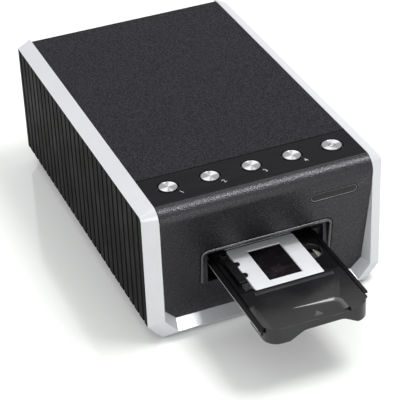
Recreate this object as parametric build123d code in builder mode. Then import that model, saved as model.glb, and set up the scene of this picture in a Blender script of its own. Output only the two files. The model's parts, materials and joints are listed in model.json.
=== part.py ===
from build123d import *
import os
from math import acos, cos, pi, radians, sin, tan

# Film scanner for 35 mm slides and negatives: a beveled desktop housing with a
# slot in its leaning front, a motor driven tray in the slot, and a film holder
# that rests in the tray.  Millimetres, +Z up, the front looks along -Y, and
# the origin lies on the table under the middle of the whole outline.

os.makedirs("parts", exist_ok=True)

# ---------------------------------------------------------------- sizes
# housing
WIDTH = 175.0             # over the ribbed sides
DEPTH = 270.0             # front ridge of the trim to the rear rim
HEIGHT = 106.2            # table to the top cover
HOLDER_REACH = 77.3       # film holder's tip, in front of the front ridge, as it rests
FOOT_H = 1.2              # how far the rubber feet hold the belly off the table
WALL = 2.5                # moulded wall
GAP = 0.3                 # open joint line between two skins
BEVEL_X = 10.2            # trim bevel, measured across
BEVEL_TOP = 5.6           # trim bevel, drop at the top edges
BEVEL_Y = 6.9             # trim bevel, run at the front edges
BELLY_X = 10.2            # bevel under the sides, measured across
BELLY_Z = 11.9            # bevel under the sides, rise
RIDGE_HIGH = 19.1         # height of the trim's ridge where its corner cut starts
RIDGE_LOW = 8.3           # height of the trim's ridge along the bottom
ROLL_R = 9.5              # rolled front top edge
ROLL_LAND = 0.45          # flat between the roll and the control strip
TRIM_BEND_R = 3.2         # outer bend of the trim at the front top corners
TRIM_WALL = 2.4           # thickness of the trim
TRIM_SEAT = 10.8          # how far the trim's front frame reaches back
FRAME_DRAFT = 0.43        # inner bevel of the frame: inward run for each mm of depth
FRAME_RISE = 0.58         # the same along the bottom
CORNER_RISE = 0.05        # the same for the upper ends of the corner cuts
RIM = 4.5                 # rim that the sides and trim leave around the rear panel

# ribbed side panels
SIDE_T = 3.4              # rib crest to inner face
RIB_PITCH = 9.63
RIB_COUNT = 27
GROOVE_W = 2.4            # groove mouth
GROOVE_FLOOR = 1.0        # groove floor
GROOVE_D = 1.5

# front panel
PANEL_LEAN = 6.5          # degrees, the foot stands back
PANEL_SET = 9.86          # setback of the leaning face at table height
PANEL_T = 3.0
SURROUND_HALF = 48.2      # half width of the flat set in around the slot
SURROUND_TOP = 65.6
SURROUND_R = 4.5
SURROUND_SET = 5.5        # its setback from the front ridge
SURROUND_T = 3.2
SLOT_HALF = 43.0
SLOT_LOW = 38.2
SLOT_HIGH = 60.6
SLOT_R = 1.0
BADGE_X = 48.5            # middle of the bare badge seat
BADGE_Z = 86.4
BADGE_L = 35.0
BADGE_W = 6.8
BADGE_D = 0.5

# top cover, control strip and keys
COVER_T = 2.4
STRIP_BACK = 42.2         # behind the front ridge
STRIP_T = 2.0
KEY_COUNT = 5
KEY_PITCH = 30.0
KEY_BACK = 27.2           # behind the front ridge
KEY_R = 6.5
POWER_R = 7.2
KEY_RING = 0.9            # dark ring between a key and its hole
KEY_PROUD = 0.3
KEY_CAP_T = 1.6
KEY_TRAVEL = 1.0
COLLAR_CLEAR = 0.3        # key collar in its hole
KEY_STEM_R = 2.5          # half the square stem
KEY_FLANGE_RIM = 2.5      # square flange, past the cap
KEY_FLANGE_T = 1.4
SWITCH_W = 6.0
SWITCH_H = 3.4
SWITCH_TIP_R = 1.75
SWITCH_TIP_H = 1.1
BOARD_T = 1.6
CONTROL_BOARD_DROP = 13.2  # top cover's outer face to the control board's top
CONTROL_BOARD_W = 140.0
CONTROL_BOARD_D = 28.0

# tray
TRAY_TOP = 50.9           # upper face of rails and holder
RAIL_IN = 37.2            # inner face of the rail webs
WEB_T = 1.6
WEB_H = 6.3
FLANGE_W = 1.8
FLANGE_T = 1.8
FLANGE_DROP = 0.5
LIP_W = 3.2
LIP_T = 1.6
LEFT_TIP = 71.3           # rail tips, in front of the front ridge
RIGHT_TIP = 64.3
LUG_L = 3.0               # stop lug at the foot of the right rail's tip
LUG_H = 1.6
CROSS_T = 4.0
TRAVEL_IN = 78.0
TRAVEL_OUT = 126.0

# tray guides
GUIDE_CLEAR = 0.4
GUIDE_FRONT = 13.0        # behind the front ridge
GUIDE_BACK = 195.0
GUIDE_PLATE_X = 43.8      # inner face of the upright plate
GUIDE_PLATE_T = 2.0
GUIDE_TOP = 62.0
GUIDE_JAW = 1.5           # jaw above and below the flange

# film holder
HOLDER_CLEAR = 0.6        # holder to rail webs
HOLDER_REST = 0.3         # holder to its lips
HOLDER_TAIL = 178.7       # behind the front ridge
TAIL_GAP = 0.5            # holder's tail to the cross bar
BAY_COUNT = 4
BAY_PITCH = 51.0
FIRST_BAY = -8.3          # bay middle, behind the front ridge
MOUNT_SIZE = 50.0         # slide mount, square
MOUNT_T = 2.0
MOUNT_R = 1.5
BAY_CLEAR = 0.3
FILM_W = 24.0             # picture window of the mount, across
FILM_L = 36.5
FILM_T = 0.2
LIGHT_W = 27.0            # light window under the mount
LIGHT_L = 38.0
SPRING_CHANNEL = 9.0      # groove left of the bays for the springs
SCOOP_R = 9.0             # finger hole right of each bay
NUB_R = 2.4               # hold-down nubs
NUB_PITCH = 13.5
NUB_LIFT = 0.7
SPRING_WIRE = 0.6
SPRING_H = 1.6
SPRING_FOLD = 2.0
GRIP_L = 44.0
GRIP_R = 10.0
APRON_L = 28.0
APRON_DROP = 12.0
ARCH_LIFT = 5.6           # arch in the apron for the finger
ARCH_LEFT = -21.0
ARCH_RIGHT = 27.0
ARCH_RUN = 10.0
SCOOP_LEFT = -13.0        # thumb scoop in the grip's upper face
SCOOP_RIGHT = 22.0
SCOOP_L = 16.3
SCOOP_D = 2.0
SCOOP_CORNER = 6.0
GRIP_BEVEL_X = 3.8        # bevel along the grip's left edge
GRIP_BEVEL_Z = 1.4

# drive
AXIS_BACK = 51.2          # scan line and drive shaft, behind the front ridge
RACK_MODULE = 0.8
RACK_PINION_TEETH = 20
RACK_W = 3.6
TRAIN_MODULE = 0.7
SMALL_TEETH = 16
LARGE_TEETH = 36
GEAR_W = 4.0
GEAR_PLAY = 0.1           # extra centre distance
TOOTH_PLAY = 0.12         # thinning of each tooth at the pitch line
PRESSURE_ANGLE = 20.0
SHAFT_R = 2.0
AXLE_R = 1.5
RUN_CLEAR = 0.05
BUSH_R = 3.4
BUSH_FLANGE_R = 4.6
BUSH_FLANGE_T = 0.8
TRAIN_GAP = 1.0           # side gap between neighbouring wheels
TRAIN_DROP_1 = -20.0      # direction from drive shaft to reduction axle, degrees
TRAIN_DROP_2 = 30.0       # direction from reduction axle to motor, degrees
POST_T = 4.0
MOTOR_R = 10.5
MOTOR_L = 15.0
MOTOR_SHAFT_R = 1.0
BRACKET_T = 1.2

# light, mirror, lens and sensor
BRIDGE_T = 2.0
BRIDGE_L = 54.0
LAMP_W = 60.0
LAMP_L = 50.0
LAMP_H = 18.0
LAMP_SLIT_W = 40.0
LAMP_SLIT_L = 8.0
OPTICS_HALF = 23.0
OPTICS_FRONT = 35.2
OPTICS_BACK = 200.0
OPTICS_H = 32.3
OPTICS_T = 2.0
MIRROR_W = 36.0
MIRROR_L = 30.0
MIRROR_T = 2.0
LENS_R = 9.0
LENS_L = 26.0
LENS_BACK = 92.0
LENS_Z = 20.0
SENSOR_W = 30.0
SENSOR_H = 6.0
SENSOR_T = 2.5

# rear panel and boards
REAR_T = 2.5
MAIN_W = 128.0
MAIN_D = 56.0
MAIN_Z = 12.0
STUD_W = 7.0
SCREW_R = 1.25
SCREW_HEAD_R = 2.6
SCREW_HEAD_H = 1.4
USB_X = -25.0
USB_W = 12.0
USB_H = 11.0
USB_L = 16.0
USB_BORE_W = 9.0
USB_BORE_H = 8.2
USB_BORE_D = 12.0
JACK_X = 25.0
JACK_W = 9.0
JACK_H = 11.0
JACK_L = 14.0
JACK_BORE_R = 3.1
JACK_BORE_D = 9.5
JACK_PIN_R = 1.0
PORT_CLEAR = 0.3
VENT_COUNT = 12           # slots for air, high on the rear panel
VENT_PITCH = 5.0
VENT_W = 2.0
VENT_H = 16.0
VENT_Z = 78.0
FOOT_W = 14.0
FOOT_POCKET = 0.8
FOOT_IN_X = 26.0          # foot middle, in from the side
FOOT_IN_Y = 26.0          # foot middle, in from the front and the back
BOSS_W = 8.0
BOSS_H = 11.0
CASE_SCREW_R = 1.5
CASE_HEAD_R = 3.0
CASE_HEAD_H = 1.3

# ---------------------------------------------------------------- places
HALF = WIDTH / 2
Y_FRONT = (HOLDER_REACH - DEPTH) / 2
Y_BACK = Y_FRONT + DEPTH
X_RIDGE = HALF - BEVEL_X
Y_SHOULDER = Y_FRONT + BEVEL_Y
Z_SHOULDER = HEIGHT - BEVEL_TOP
BELLY_TOP = FOOT_H + BELLY_Z
BELLY_HALF = HALF - GROOVE_D
FLOOR_Z = FOOT_H + WALL
INSIDE_HALF = HALF - SIDE_T
INSIDE_FLOOR_HALF = INSIDE_HALF - (BELLY_TOP - FLOOR_Z) * BELLY_X / BELLY_Z
LEAN = tan(radians(PANEL_LEAN))
ROLL_RUN = ROLL_R / tan(radians(45 - PANEL_LEAN / 2))
STRIP_FRONT = PANEL_SET - HEIGHT * LEAN + ROLL_RUN + ROLL_LAND

RAIL_OUT = RAIL_IN + WEB_T
TRAY_TAIL = HOLDER_TAIL + TAIL_GAP + CROSS_T  # tray's rear end, behind the front ridge
FLANGE_OUT = RAIL_OUT + FLANGE_W
WEB_LOW = TRAY_TOP - WEB_H
LIP_TOP = WEB_LOW + LIP_T
FLANGE_TOP = TRAY_TOP - FLANGE_DROP
FLANGE_LOW = FLANGE_TOP - FLANGE_T
HOLDER_HALF = RAIL_IN - HOLDER_CLEAR
HOLDER_LOW = LIP_TOP + HOLDER_REST
GRIP_BACK = GRIP_L - HOLDER_REACH

GUIDE_OUT = GUIDE_PLATE_X + GUIDE_PLATE_T
RACK_PITCH = pi * RACK_MODULE
RACK_TIP = LIP_TOP - RACK_W
PINION_R = RACK_MODULE * RACK_PINION_TEETH / 2
SHAFT_Z = RACK_TIP + RACK_MODULE - PINION_R - GEAR_PLAY
TRAIN_STEP = TRAIN_MODULE * (SMALL_TEETH + LARGE_TEETH) / 2 + GEAR_PLAY
WHEEL_1_X = GUIDE_OUT + TRAIN_GAP
WHEEL_2_X = WHEEL_1_X + GEAR_W + TRAIN_GAP
BRACKET_X = WHEEL_2_X + GEAR_W + TRAIN_GAP
MOTOR_X = BRACKET_X + BRACKET_T


def back(depth):
    """Y of a place that lies depth behind the front ridge."""
    return Y_FRONT + depth


def panel_y(height):
    """Y of the leaning front face at a height."""
    return back(PANEL_SET - height * LEAN)


def section_plane(depth):
    """Upright plane across the housing; an extrusion runs forward from it."""
    return Plane.XZ.offset(-back(depth))


SHAFT_Y = back(AXIS_BACK)
REDUCTION_Y = SHAFT_Y + TRAIN_STEP * cos(radians(TRAIN_DROP_1))
REDUCTION_Z = SHAFT_Z + TRAIN_STEP * sin(radians(TRAIN_DROP_1))
MOTOR_Y = REDUCTION_Y + TRAIN_STEP * cos(radians(TRAIN_DROP_2))
MOTOR_Z = REDUCTION_Z + TRAIN_STEP * sin(radians(TRAIN_DROP_2))


# ---------------------------------------------------------------- shared forms
def block(x, y, z):
    """Box between two corners, given as (low, high) pairs."""
    with BuildPart(mode=Mode.PRIVATE) as piece:
        with Locations(((x[0] + x[1]) / 2, (y[0] + y[1]) / 2, (z[0] + z[1]) / 2)):
            Box(x[1] - x[0], y[1] - y[0], z[1] - z[0])
    return piece.part


def inside_outline(clear, top):
    """Cross section of the room inside the sides and the belly."""
    half = INSIDE_HALF - clear
    floor_half = INSIDE_FLOOR_HALF - clear
    return [
        (-floor_half, FLOOR_Z + clear), (floor_half, FLOOR_Z + clear), (half, BELLY_TOP),
        (half, top), (-half, top), (-half, BELLY_TOP),
    ]


def opening_outline(depth, gap):
    """Outline of the front frame's opening at a depth, drawn in by a gap."""
    side = X_RIDGE - FRAME_DRAFT * depth - gap
    corner_run = (RIDGE_HIGH - RIDGE_LOW) * BELLY_X / BELLY_Z
    high = RIDGE_HIGH + CORNER_RISE * depth + gap / 2
    low = RIDGE_LOW + FRAME_RISE * depth + gap
    top = HEIGHT + BEVEL_TOP
    foot = side - corner_run
    return [(-foot, low), (foot, low), (side, high), (side, top), (-side, top), (-side, high)]


def keep_inside(planes):
    """Cut the open form away beyond planes, each a point and an outward normal."""
    for point, normal in planes:
        split(bisect_by=Plane(origin=point, z_dir=normal), keep=Keep.BOTTOM)


def opening_planes(gap):
    """Faces of the front frame's opening: for each a point and an outward normal."""
    near, far = [
        [Vector(x, back(depth), z) for x, z in opening_outline(depth, gap)]
        for depth in (0, 2 * BEVEL_Y)
    ]
    planes = []
    for n in (0, 1, 2, 4, 5):
        after = (n + 1) % len(near)
        inward = (far[n] + far[after]) * 0.5 - near[n]
        planes.append((near[n], inward.cross(near[after] - near[n])))
    return planes


def front_opening(gap):
    """Room inside the trim's front frame, tapering inward behind the ridge."""
    with BuildPart(mode=Mode.PRIVATE) as room:
        add(block((-WIDTH, WIDTH), (back(-BEVEL_Y), back(2 * BEVEL_Y)), (0, HEIGHT + BEVEL_TOP)))
        keep_inside(opening_planes(gap))
    return room.part


def envelope(inset):
    """Outer form of the housing, every face drawn in by about the same inset."""
    ridge_x = X_RIDGE - inset / 2
    side_x = HALF - inset
    ridge = (Y_FRONT + inset, HEIGHT - inset, ROLL_R - inset)
    side = (Y_SHOULDER + inset / 2, Z_SHOULDER - inset / 2, TRIM_BEND_R)
    low = FOOT_H + inset
    with BuildPart(mode=Mode.PRIVATE) as form:
        for x, (front, top, bend) in ((ridge_x, ridge), (side_x, side)):
            with BuildSketch(Plane.YZ.offset(x)):
                with BuildLine():
                    Line((front, low), (front, top - bend))
                    RadiusArc((front, top - bend), (front + bend, top), bend)
                    Polyline((front + bend, top), (Y_BACK, top), (Y_BACK, low), (front, low))
                make_face()
        loft(ruled=True)
        with BuildSketch(Plane.YZ):
            with BuildLine():
                front, top, bend = ridge
                Line((front, low), (front, top - bend))
                RadiusArc((front, top - bend), (front + bend, top), bend)
                Polyline((front + bend, top), (Y_BACK, top), (Y_BACK, low), (front, low))
            make_face()
        extrude(amount=ridge_x)
        mirror(about=Plane.YZ)
        # bevels under the sides, under the front, and across the lower front corners
        corner_run = (RIDGE_HIGH - RIDGE_LOW) * BELLY_X / BELLY_Z
        ridge_high = Vector(X_RIDGE, Y_FRONT, RIDGE_HIGH)
        ridge_low = Vector(X_RIDGE - corner_run, Y_FRONT, RIDGE_LOW)
        shoulder_high = Vector(HALF, Y_SHOULDER, BELLY_TOP)
        shoulder_low = Vector(HALF - BELLY_X, Y_SHOULDER, FOOT_H)
        under_front = (Vector(0, -(RIDGE_LOW - FOOT_H), -BEVEL_Y)).normalized()
        under_side = Vector(BELLY_Z, 0, -BELLY_X).normalized()
        corner = (shoulder_high - ridge_high).cross(ridge_low - ridge_high).normalized()
        if corner.Z > 0:
            corner = corner * -1
        planes = [(ridge_low - under_front * inset, under_front)]
        for point, normal in ((shoulder_low, under_side), (ridge_high, corner)):
            for sign in (-1, 1):
                out = Vector(normal.X * sign, normal.Y, normal.Z)
                planes.append((Vector(point.X * sign, point.Y, point.Z) - out * inset, out))
        keep_inside(planes)
    return form.part


def gear_face(module, teeth, turn, bore):
    """Spur gear outline, involute flanks in short chords, with a bore; a tooth points at turn."""
    pitch_r = module * teeth / 2
    pressure = radians(PRESSURE_ANGLE)
    base_r = pitch_r * cos(pressure)
    root_r = pitch_r - 1.25 * module
    tip_r = pitch_r + module
    flank_r = (base_r + tip_r) / 2
    step = 2 * pi / teeth

    def half_angle(radius):
        """Half of the tooth's angle at a radius, from the involute of the base circle."""
        unwind = acos(min(1.0, base_r / radius))
        at_pitch = (pi * module / 2 - TOOTH_PLAY) / 2 / pitch_r
        return at_pitch + (tan(pressure) - pressure) - (tan(unwind) - unwind)

    corners = []
    for tooth in range(teeth):
        middle = radians(turn) + tooth * step
        for side in (-1, 1):
            for radius in (root_r, base_r, flank_r, tip_r)[::-side]:
                angle = middle + side * half_angle(max(radius, base_r))
                corners.append((radius * cos(angle), radius * sin(angle)))
    with BuildSketch(mode=Mode.PRIVATE) as gear:
        with BuildLine():
            Polyline(*corners, close=True)
        make_face()
        Circle(bore, mode=Mode.SUBTRACT)
    return gear.sketch


def axle_plane(x, y, z):
    """Plane square to a cross axle: local x runs back, local y runs up."""
    return Plane(origin=(x, y, z), x_dir=(0, 1, 0), z_dir=(1, 0, 0))


# ---------------------------------------------------------------- housing skins
# trim: one silver frame, a bevel along both top edges, down the front and under it
trim_hollow = envelope(TRIM_WALL) - front_opening(-TRIM_WALL)
with BuildPart() as skin_room:
    with BuildSketch(Plane.YZ.offset(-WIDTH)) as skin_side:
        with BuildLine():
            Polyline(
                (Y_SHOULDER, -HEIGHT), (Y_BACK + RIM, -HEIGHT), (Y_BACK + RIM, Z_SHOULDER),
                (Y_SHOULDER, Z_SHOULDER), close=True,
            )
        make_face()
        fillet(skin_side.vertices().group_by(Axis.X)[0].sort_by(Axis.Y)[-1], TRIM_BEND_R)
    extrude(amount=2 * WIDTH)
    with BuildSketch(Plane.XZ.offset(-Y_BACK - RIM)):
        Polygon(*inside_outline(0.1, HEIGHT), align=None)
    extrude(amount=DEPTH + RIM, mode=Mode.SUBTRACT)

with BuildPart() as silver_trim:
    add(envelope(0))
    add(trim_hollow, mode=Mode.SUBTRACT)
    add(front_opening(0), mode=Mode.SUBTRACT)
    add(skin_room.part, mode=Mode.SUBTRACT)
    add(block((-HALF, HALF), (back(TRIM_SEAT), Y_BACK + RIM), (0, Z_SHOULDER)), mode=Mode.SUBTRACT)
    add(block((-X_RIDGE, X_RIDGE), (back(-RIM), Y_BACK + RIM), (Z_SHOULDER - ROLL_R, 2 * HEIGHT)),
        mode=Mode.SUBTRACT)
silver_trim.part.label = "silver_trim"
export_step(silver_trim.part, "parts/silver_trim.step")

# side panels: upright ribs over the whole side, screw bosses at the foot
with BuildPart() as right_side_panel:
    with BuildSketch(Plane.XY.offset(BELLY_TOP)):
        with Locations((HALF - SIDE_T / 2, (Y_SHOULDER + Y_BACK) / 2)):
            Rectangle(SIDE_T, Y_BACK - Y_SHOULDER)
        with Locations((HALF, Y_SHOULDER + RIB_PITCH * RIB_COUNT / 2 + RIB_PITCH / 4)):
            with GridLocations(0, RIB_PITCH, 1, RIB_COUNT):
                Polygon(
                    (0.1, -GROOVE_W / 2), (0.1, GROOVE_W / 2), (0, GROOVE_W / 2),
                    (-GROOVE_D, GROOVE_FLOOR / 2), (-GROOVE_D, -GROOVE_FLOOR / 2), (0, -GROOVE_W / 2),
                    align=None, mode=Mode.SUBTRACT,
                )
    extrude(amount=Z_SHOULDER - BELLY_TOP)
    with BuildSketch(Plane.YZ.offset(HALF - 2 * SIDE_T)):
        with BuildLine():
            Line((Y_SHOULDER, Z_SHOULDER), (Y_SHOULDER, Z_SHOULDER - TRIM_BEND_R))
            RadiusArc((Y_SHOULDER, Z_SHOULDER - TRIM_BEND_R), (Y_SHOULDER + TRIM_BEND_R, Z_SHOULDER), TRIM_BEND_R)
            Line((Y_SHOULDER + TRIM_BEND_R, Z_SHOULDER), (Y_SHOULDER, Z_SHOULDER))
        make_face()
    extrude(amount=3 * SIDE_T, mode=Mode.SUBTRACT)
    for y in (Y_SHOULDER + FOOT_IN_Y, Y_BACK - FOOT_IN_Y):
        add(block((INSIDE_FLOOR_HALF - BOSS_W, INSIDE_FLOOR_HALF), (y - BOSS_W / 2, y + BOSS_W / 2),
                  (FLOOR_Z, BELLY_TOP + BOSS_H)))
        add(block((INSIDE_FLOOR_HALF - BOSS_W, INSIDE_HALF), (y - BOSS_W / 2, y + BOSS_W / 2),
                  (BELLY_TOP, BELLY_TOP + BOSS_H)))
        with Locations((INSIDE_FLOOR_HALF - BOSS_W / 2, y, FLOOR_Z + BOSS_H / 2)):
            Cylinder(CASE_SCREW_R, BOSS_H, mode=Mode.SUBTRACT)
right_side_panel.part.label = "right_side_panel"
export_step(right_side_panel.part, "parts/right_side_panel.step")

with BuildPart() as left_side_panel:
    add(right_side_panel.part)
    mirror(about=Plane.YZ, mode=Mode.REPLACE)
left_side_panel.part.label = "left_side_panel"
export_step(left_side_panel.part, "parts/left_side_panel.step")

# base pan: belly with beveled sides, studs for the main board, pockets for the feet
foot_spots = [
    (sx * (HALF - FOOT_IN_X), y)
    for sx in (-1, 1) for y in (Y_SHOULDER + FOOT_IN_Y, Y_BACK - FOOT_IN_Y)
]
case_screw_spots = [
    (sx * (INSIDE_FLOOR_HALF - BOSS_W / 2), y)
    for sx in (-1, 1) for y in (Y_SHOULDER + FOOT_IN_Y, Y_BACK - FOOT_IN_Y)
]
REAR_FACE = Y_BACK - RIM
MAIN_Y = REAR_FACE - REAR_T - PORT_CLEAR - MAIN_D / 2
board_spots = [
    (sx * (MAIN_W / 2 - STUD_W), MAIN_Y + sy * (MAIN_D / 2 - STUD_W))
    for sx in (-1, 1) for sy in (-1, 1)
]
with BuildPart() as base_pan:
    with BuildSketch(Plane.XZ.offset(-Y_BACK)):
        Polygon(
            (-X_RIDGE, FOOT_H), (X_RIDGE, FOOT_H), (BELLY_HALF, BELLY_TOP), (-BELLY_HALF, BELLY_TOP),
            align=None,
        )
        Polygon(*inside_outline(0, HEIGHT), align=None, mode=Mode.SUBTRACT)
    extrude(amount=Y_BACK - Y_SHOULDER)
    with Locations(*[(x, y, FLOOR_Z) for x, y in board_spots]):
        Box(STUD_W, STUD_W, MAIN_Z - FLOOR_Z, align=(Align.CENTER, Align.CENTER, Align.MIN))
    with Locations(*[(x, y, MAIN_Z) for x, y in board_spots]):
        Cylinder(SCREW_R, MAIN_Z - FLOOR_Z, align=(Align.CENTER, Align.CENTER, Align.MAX),
                 mode=Mode.SUBTRACT)
    with Locations(*[(x, y, FOOT_H) for x, y in foot_spots]):
        Box(FOOT_W, FOOT_W, 2 * FOOT_POCKET, mode=Mode.SUBTRACT)
    with Locations(*[(x, y, FLOOR_Z) for x, y in case_screw_spots]):
        Cylinder(CASE_SCREW_R, 4 * WALL, mode=Mode.SUBTRACT)
    with Locations(*[(x, y, FOOT_H) for x, y in case_screw_spots]):
        Cylinder(CASE_HEAD_R, 2 * CASE_HEAD_H, mode=Mode.SUBTRACT)
base_pan.part.label = "base_pan"
export_step(base_pan.part, "parts/base_pan.step")

with BuildPart() as case_screws:
    for x, y in case_screw_spots:
        with BuildSketch(Plane.XY.offset(FOOT_H)):
            with Locations((x, y)):
                Circle(CASE_HEAD_R)
        extrude(amount=CASE_HEAD_H)
        with BuildSketch(Plane.XY.offset(FOOT_H + CASE_HEAD_H)):
            with Locations((x, y)):
                Circle(CASE_SCREW_R)
        extrude(amount=WALL - CASE_HEAD_H + BOSS_H)
case_screws.part.label = "case_screws"
export_step(case_screws.part, "parts/case_screws.step")

with BuildPart() as rubber_feet:
    with BuildSketch():
        with Locations(*foot_spots):
            Rectangle(FOOT_W, FOOT_W)
    extrude(amount=FOOT_H + FOOT_POCKET)
    chamfer(rubber_feet.edges().group_by(Axis.Z)[0], FOOT_POCKET / 2)
rubber_feet.part.label = "rubber_feet"
export_step(rubber_feet.part, "parts/rubber_feet.step")

# front panel: leaning face, rolled top edge, flat surround with the slot, badge seat
with BuildPart() as panel_slab:
    with BuildSketch(Plane.YZ) as front_profile:
        with BuildLine():
            lip = back(STRIP_FRONT - GAP)
            Polyline(
                (panel_y(0), 0), (panel_y(HEIGHT), HEIGHT), (lip, HEIGHT), (lip, HEIGHT - PANEL_T),
                (panel_y(HEIGHT - PANEL_T) + PANEL_T, HEIGHT - PANEL_T), (panel_y(0) + PANEL_T, 0),
                close=True,
            )
        make_face()
        fillet(front_profile.vertices().sort_by(Axis.X)[1], ROLL_R - PANEL_T)
        fillet(front_profile.vertices().sort_by(Axis.X)[0], ROLL_R)
    extrude(amount=X_RIDGE - GAP, both=True)

with BuildPart() as front_panel:
    add(panel_slab.part)
    keep_inside(opening_planes(GAP))
    roll_only = block((-HALF, HALF), (back(-DEPTH), back(DEPTH)), (Z_SHOULDER - ROLL_R + GAP, 2 * HEIGHT))
    add(panel_slab.part & roll_only)
    add(block((-SURROUND_HALF - PANEL_T, SURROUND_HALF + PANEL_T),
              (panel_y(SLOT_LOW) + PANEL_T / 2, back(SURROUND_SET + SURROUND_T)),
              (SLOT_LOW - 2 * PANEL_T, SURROUND_TOP + PANEL_T)))
    with BuildSketch(section_plane(SURROUND_SET)) as surround:
        with BuildLine():
            foot = SLOT_LOW - PANEL_T
            Polyline(
                (-SURROUND_HALF, foot), (SURROUND_HALF, foot),
                (SURROUND_HALF, SURROUND_TOP), (-SURROUND_HALF, SURROUND_TOP), close=True,
            )
        make_face()
        fillet(surround.vertices().group_by(Axis.Y)[-1], SURROUND_R)
    extrude(amount=3 * SURROUND_SET, mode=Mode.SUBTRACT)
    with BuildSketch(section_plane(SURROUND_SET + 2 * SURROUND_T)) as slot:
        with Locations((0, (SLOT_LOW + SLOT_HIGH) / 2)):
            RectangleRounded(2 * SLOT_HALF, SLOT_HIGH - SLOT_LOW, SLOT_R)
    extrude(amount=3 * SURROUND_T + SURROUND_SET, mode=Mode.SUBTRACT)
    badge_face = Plane(
        origin=(BADGE_X, panel_y(BADGE_Z), BADGE_Z), x_dir=(1, 0, 0),
        z_dir=(0, -cos(radians(PANEL_LEAN)), -sin(radians(PANEL_LEAN))),
    )
    with BuildSketch(badge_face.offset(-BADGE_D)):
        SlotOverall(BADGE_L, BADGE_W)
    extrude(amount=2 * BADGE_D, mode=Mode.SUBTRACT)
front_panel.part.label = "front_panel"
export_step(front_panel.part, "parts/front_panel.step")

# top cover: flush sheet with a seat for the control strip and posts for its board
BOARD_TOP = HEIGHT - CONTROL_BOARD_DROP
KEY_Y = back(KEY_BACK)
key_x = [KEY_PITCH * (n - (KEY_COUNT - 1) / 2) for n in range(KEY_COUNT)]
cap_radii = [KEY_R] * (KEY_COUNT - 1) + [POWER_R]
post_spots = [
    (sx * 1.5 * KEY_PITCH, back(depth))
    for sx in (-1, 1) for depth in (STRIP_FRONT + 3 * STRIP_T, STRIP_BACK - 2 * STRIP_T)
]
COVER_INNER = HEIGHT - STRIP_T - COVER_T
with BuildPart() as top_cover:
    add(block((-X_RIDGE + GAP, X_RIDGE - GAP), (back(STRIP_FRONT), REAR_FACE), (HEIGHT - COVER_T, HEIGHT)))
    add(block((-X_RIDGE + GAP + TRIM_WALL, X_RIDGE - GAP - TRIM_WALL),
              (back(STRIP_FRONT), back(STRIP_BACK) + COVER_T), (COVER_INNER, HEIGHT - COVER_T)))
    add(block((-X_RIDGE, X_RIDGE), (back(0), back(STRIP_BACK)), (HEIGHT - STRIP_T, 2 * HEIGHT)),
        mode=Mode.SUBTRACT)
    with Locations(*[(x, y, COVER_INNER) for x, y in post_spots]):
        Box(STUD_W, STUD_W, COVER_INNER - BOARD_TOP, align=(Align.CENTER, Align.CENTER, Align.MAX))
    with Locations(*[(x, y, BOARD_TOP) for x, y in post_spots]):
        Cylinder(SCREW_R, CONTROL_BOARD_DROP / 2, align=(Align.CENTER, Align.CENTER, Align.MIN),
                 mode=Mode.SUBTRACT)
    for x, radius in zip(key_x, cap_radii):
        with Locations((x, KEY_Y, HEIGHT)):
            Cylinder(radius + KEY_RING, 4 * (STRIP_T + COVER_T), mode=Mode.SUBTRACT)
top_cover.part.label = "top_cover"
export_step(top_cover.part, "parts/top_cover.step")

with BuildPart() as control_strip:
    add(block((-X_RIDGE + GAP, X_RIDGE - GAP), (back(STRIP_FRONT), back(STRIP_BACK) - GAP),
              (HEIGHT - STRIP_T, HEIGHT)))
    for x, radius in zip(key_x, cap_radii):
        with Locations((x, KEY_Y, HEIGHT)):
            Cylinder(radius + KEY_RING, 4 * STRIP_T, mode=Mode.SUBTRACT)
control_strip.part.label = "control_strip"
export_step(control_strip.part, "parts/control_strip.step")

# rear panel: inset sheet with the two sockets' windows
port_spots = {
    "usb": (USB_X, MAIN_Z + BOARD_T + USB_H / 2, USB_W, USB_H),
    "jack": (JACK_X, MAIN_Z + BOARD_T + JACK_H / 2, JACK_W, JACK_H),
}
with BuildPart() as rear_panel:
    with BuildSketch(Plane.XZ.offset(-REAR_FACE)):
        shelf = HEIGHT - COVER_T
        half = INSIDE_HALF - 0.1
        floor_half = INSIDE_FLOOR_HALF - 0.1
        Polygon(
            (-floor_half, FLOOR_Z), (floor_half, FLOOR_Z), (half, BELLY_TOP), (half, Z_SHOULDER - WALL / 2),
            (X_RIDGE - WALL, shelf), (-X_RIDGE + WALL, shelf), (-half, Z_SHOULDER - WALL / 2),
            (-half, BELLY_TOP), align=None,
        )
        for x, z, width, height in port_spots.values():
            with Locations((x, z)):
                Rectangle(width + 2 * PORT_CLEAR, height + 2 * PORT_CLEAR, mode=Mode.SUBTRACT)
        with Locations((0, VENT_Z)):
            with GridLocations(VENT_PITCH, 0, VENT_COUNT, 1):
                Rectangle(VENT_W, VENT_H, mode=Mode.SUBTRACT)
    extrude(amount=REAR_T)
rear_panel.part.label = "rear_panel"
export_step(rear_panel.part, "parts/rear_panel.step")

# ---------------------------------------------------------------- boards and sockets
with BuildPart() as main_board:
    with BuildSketch(Plane.XY.offset(MAIN_Z)):
        with Locations((0, MAIN_Y)):
            Rectangle(MAIN_W, MAIN_D)
        with Locations(*board_spots):
            Circle(SCREW_R, mode=Mode.SUBTRACT)
    extrude(amount=BOARD_T)
    chip_top = MAIN_Z + BOARD_T
    for x, y, side, height in ((-4, -10, 18, 2.2), (38, -14, 11, 1.8), (-48, -8, 12, 6.0), (52, 12, 9, 8.0)):
        add(block((x - side / 2, x + side / 2), (MAIN_Y + y - side / 2, MAIN_Y + y + side / 2),
                  (chip_top, chip_top + height)))
main_board.part.label = "main_board"
export_step(main_board.part, "parts/main_board.step")

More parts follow.
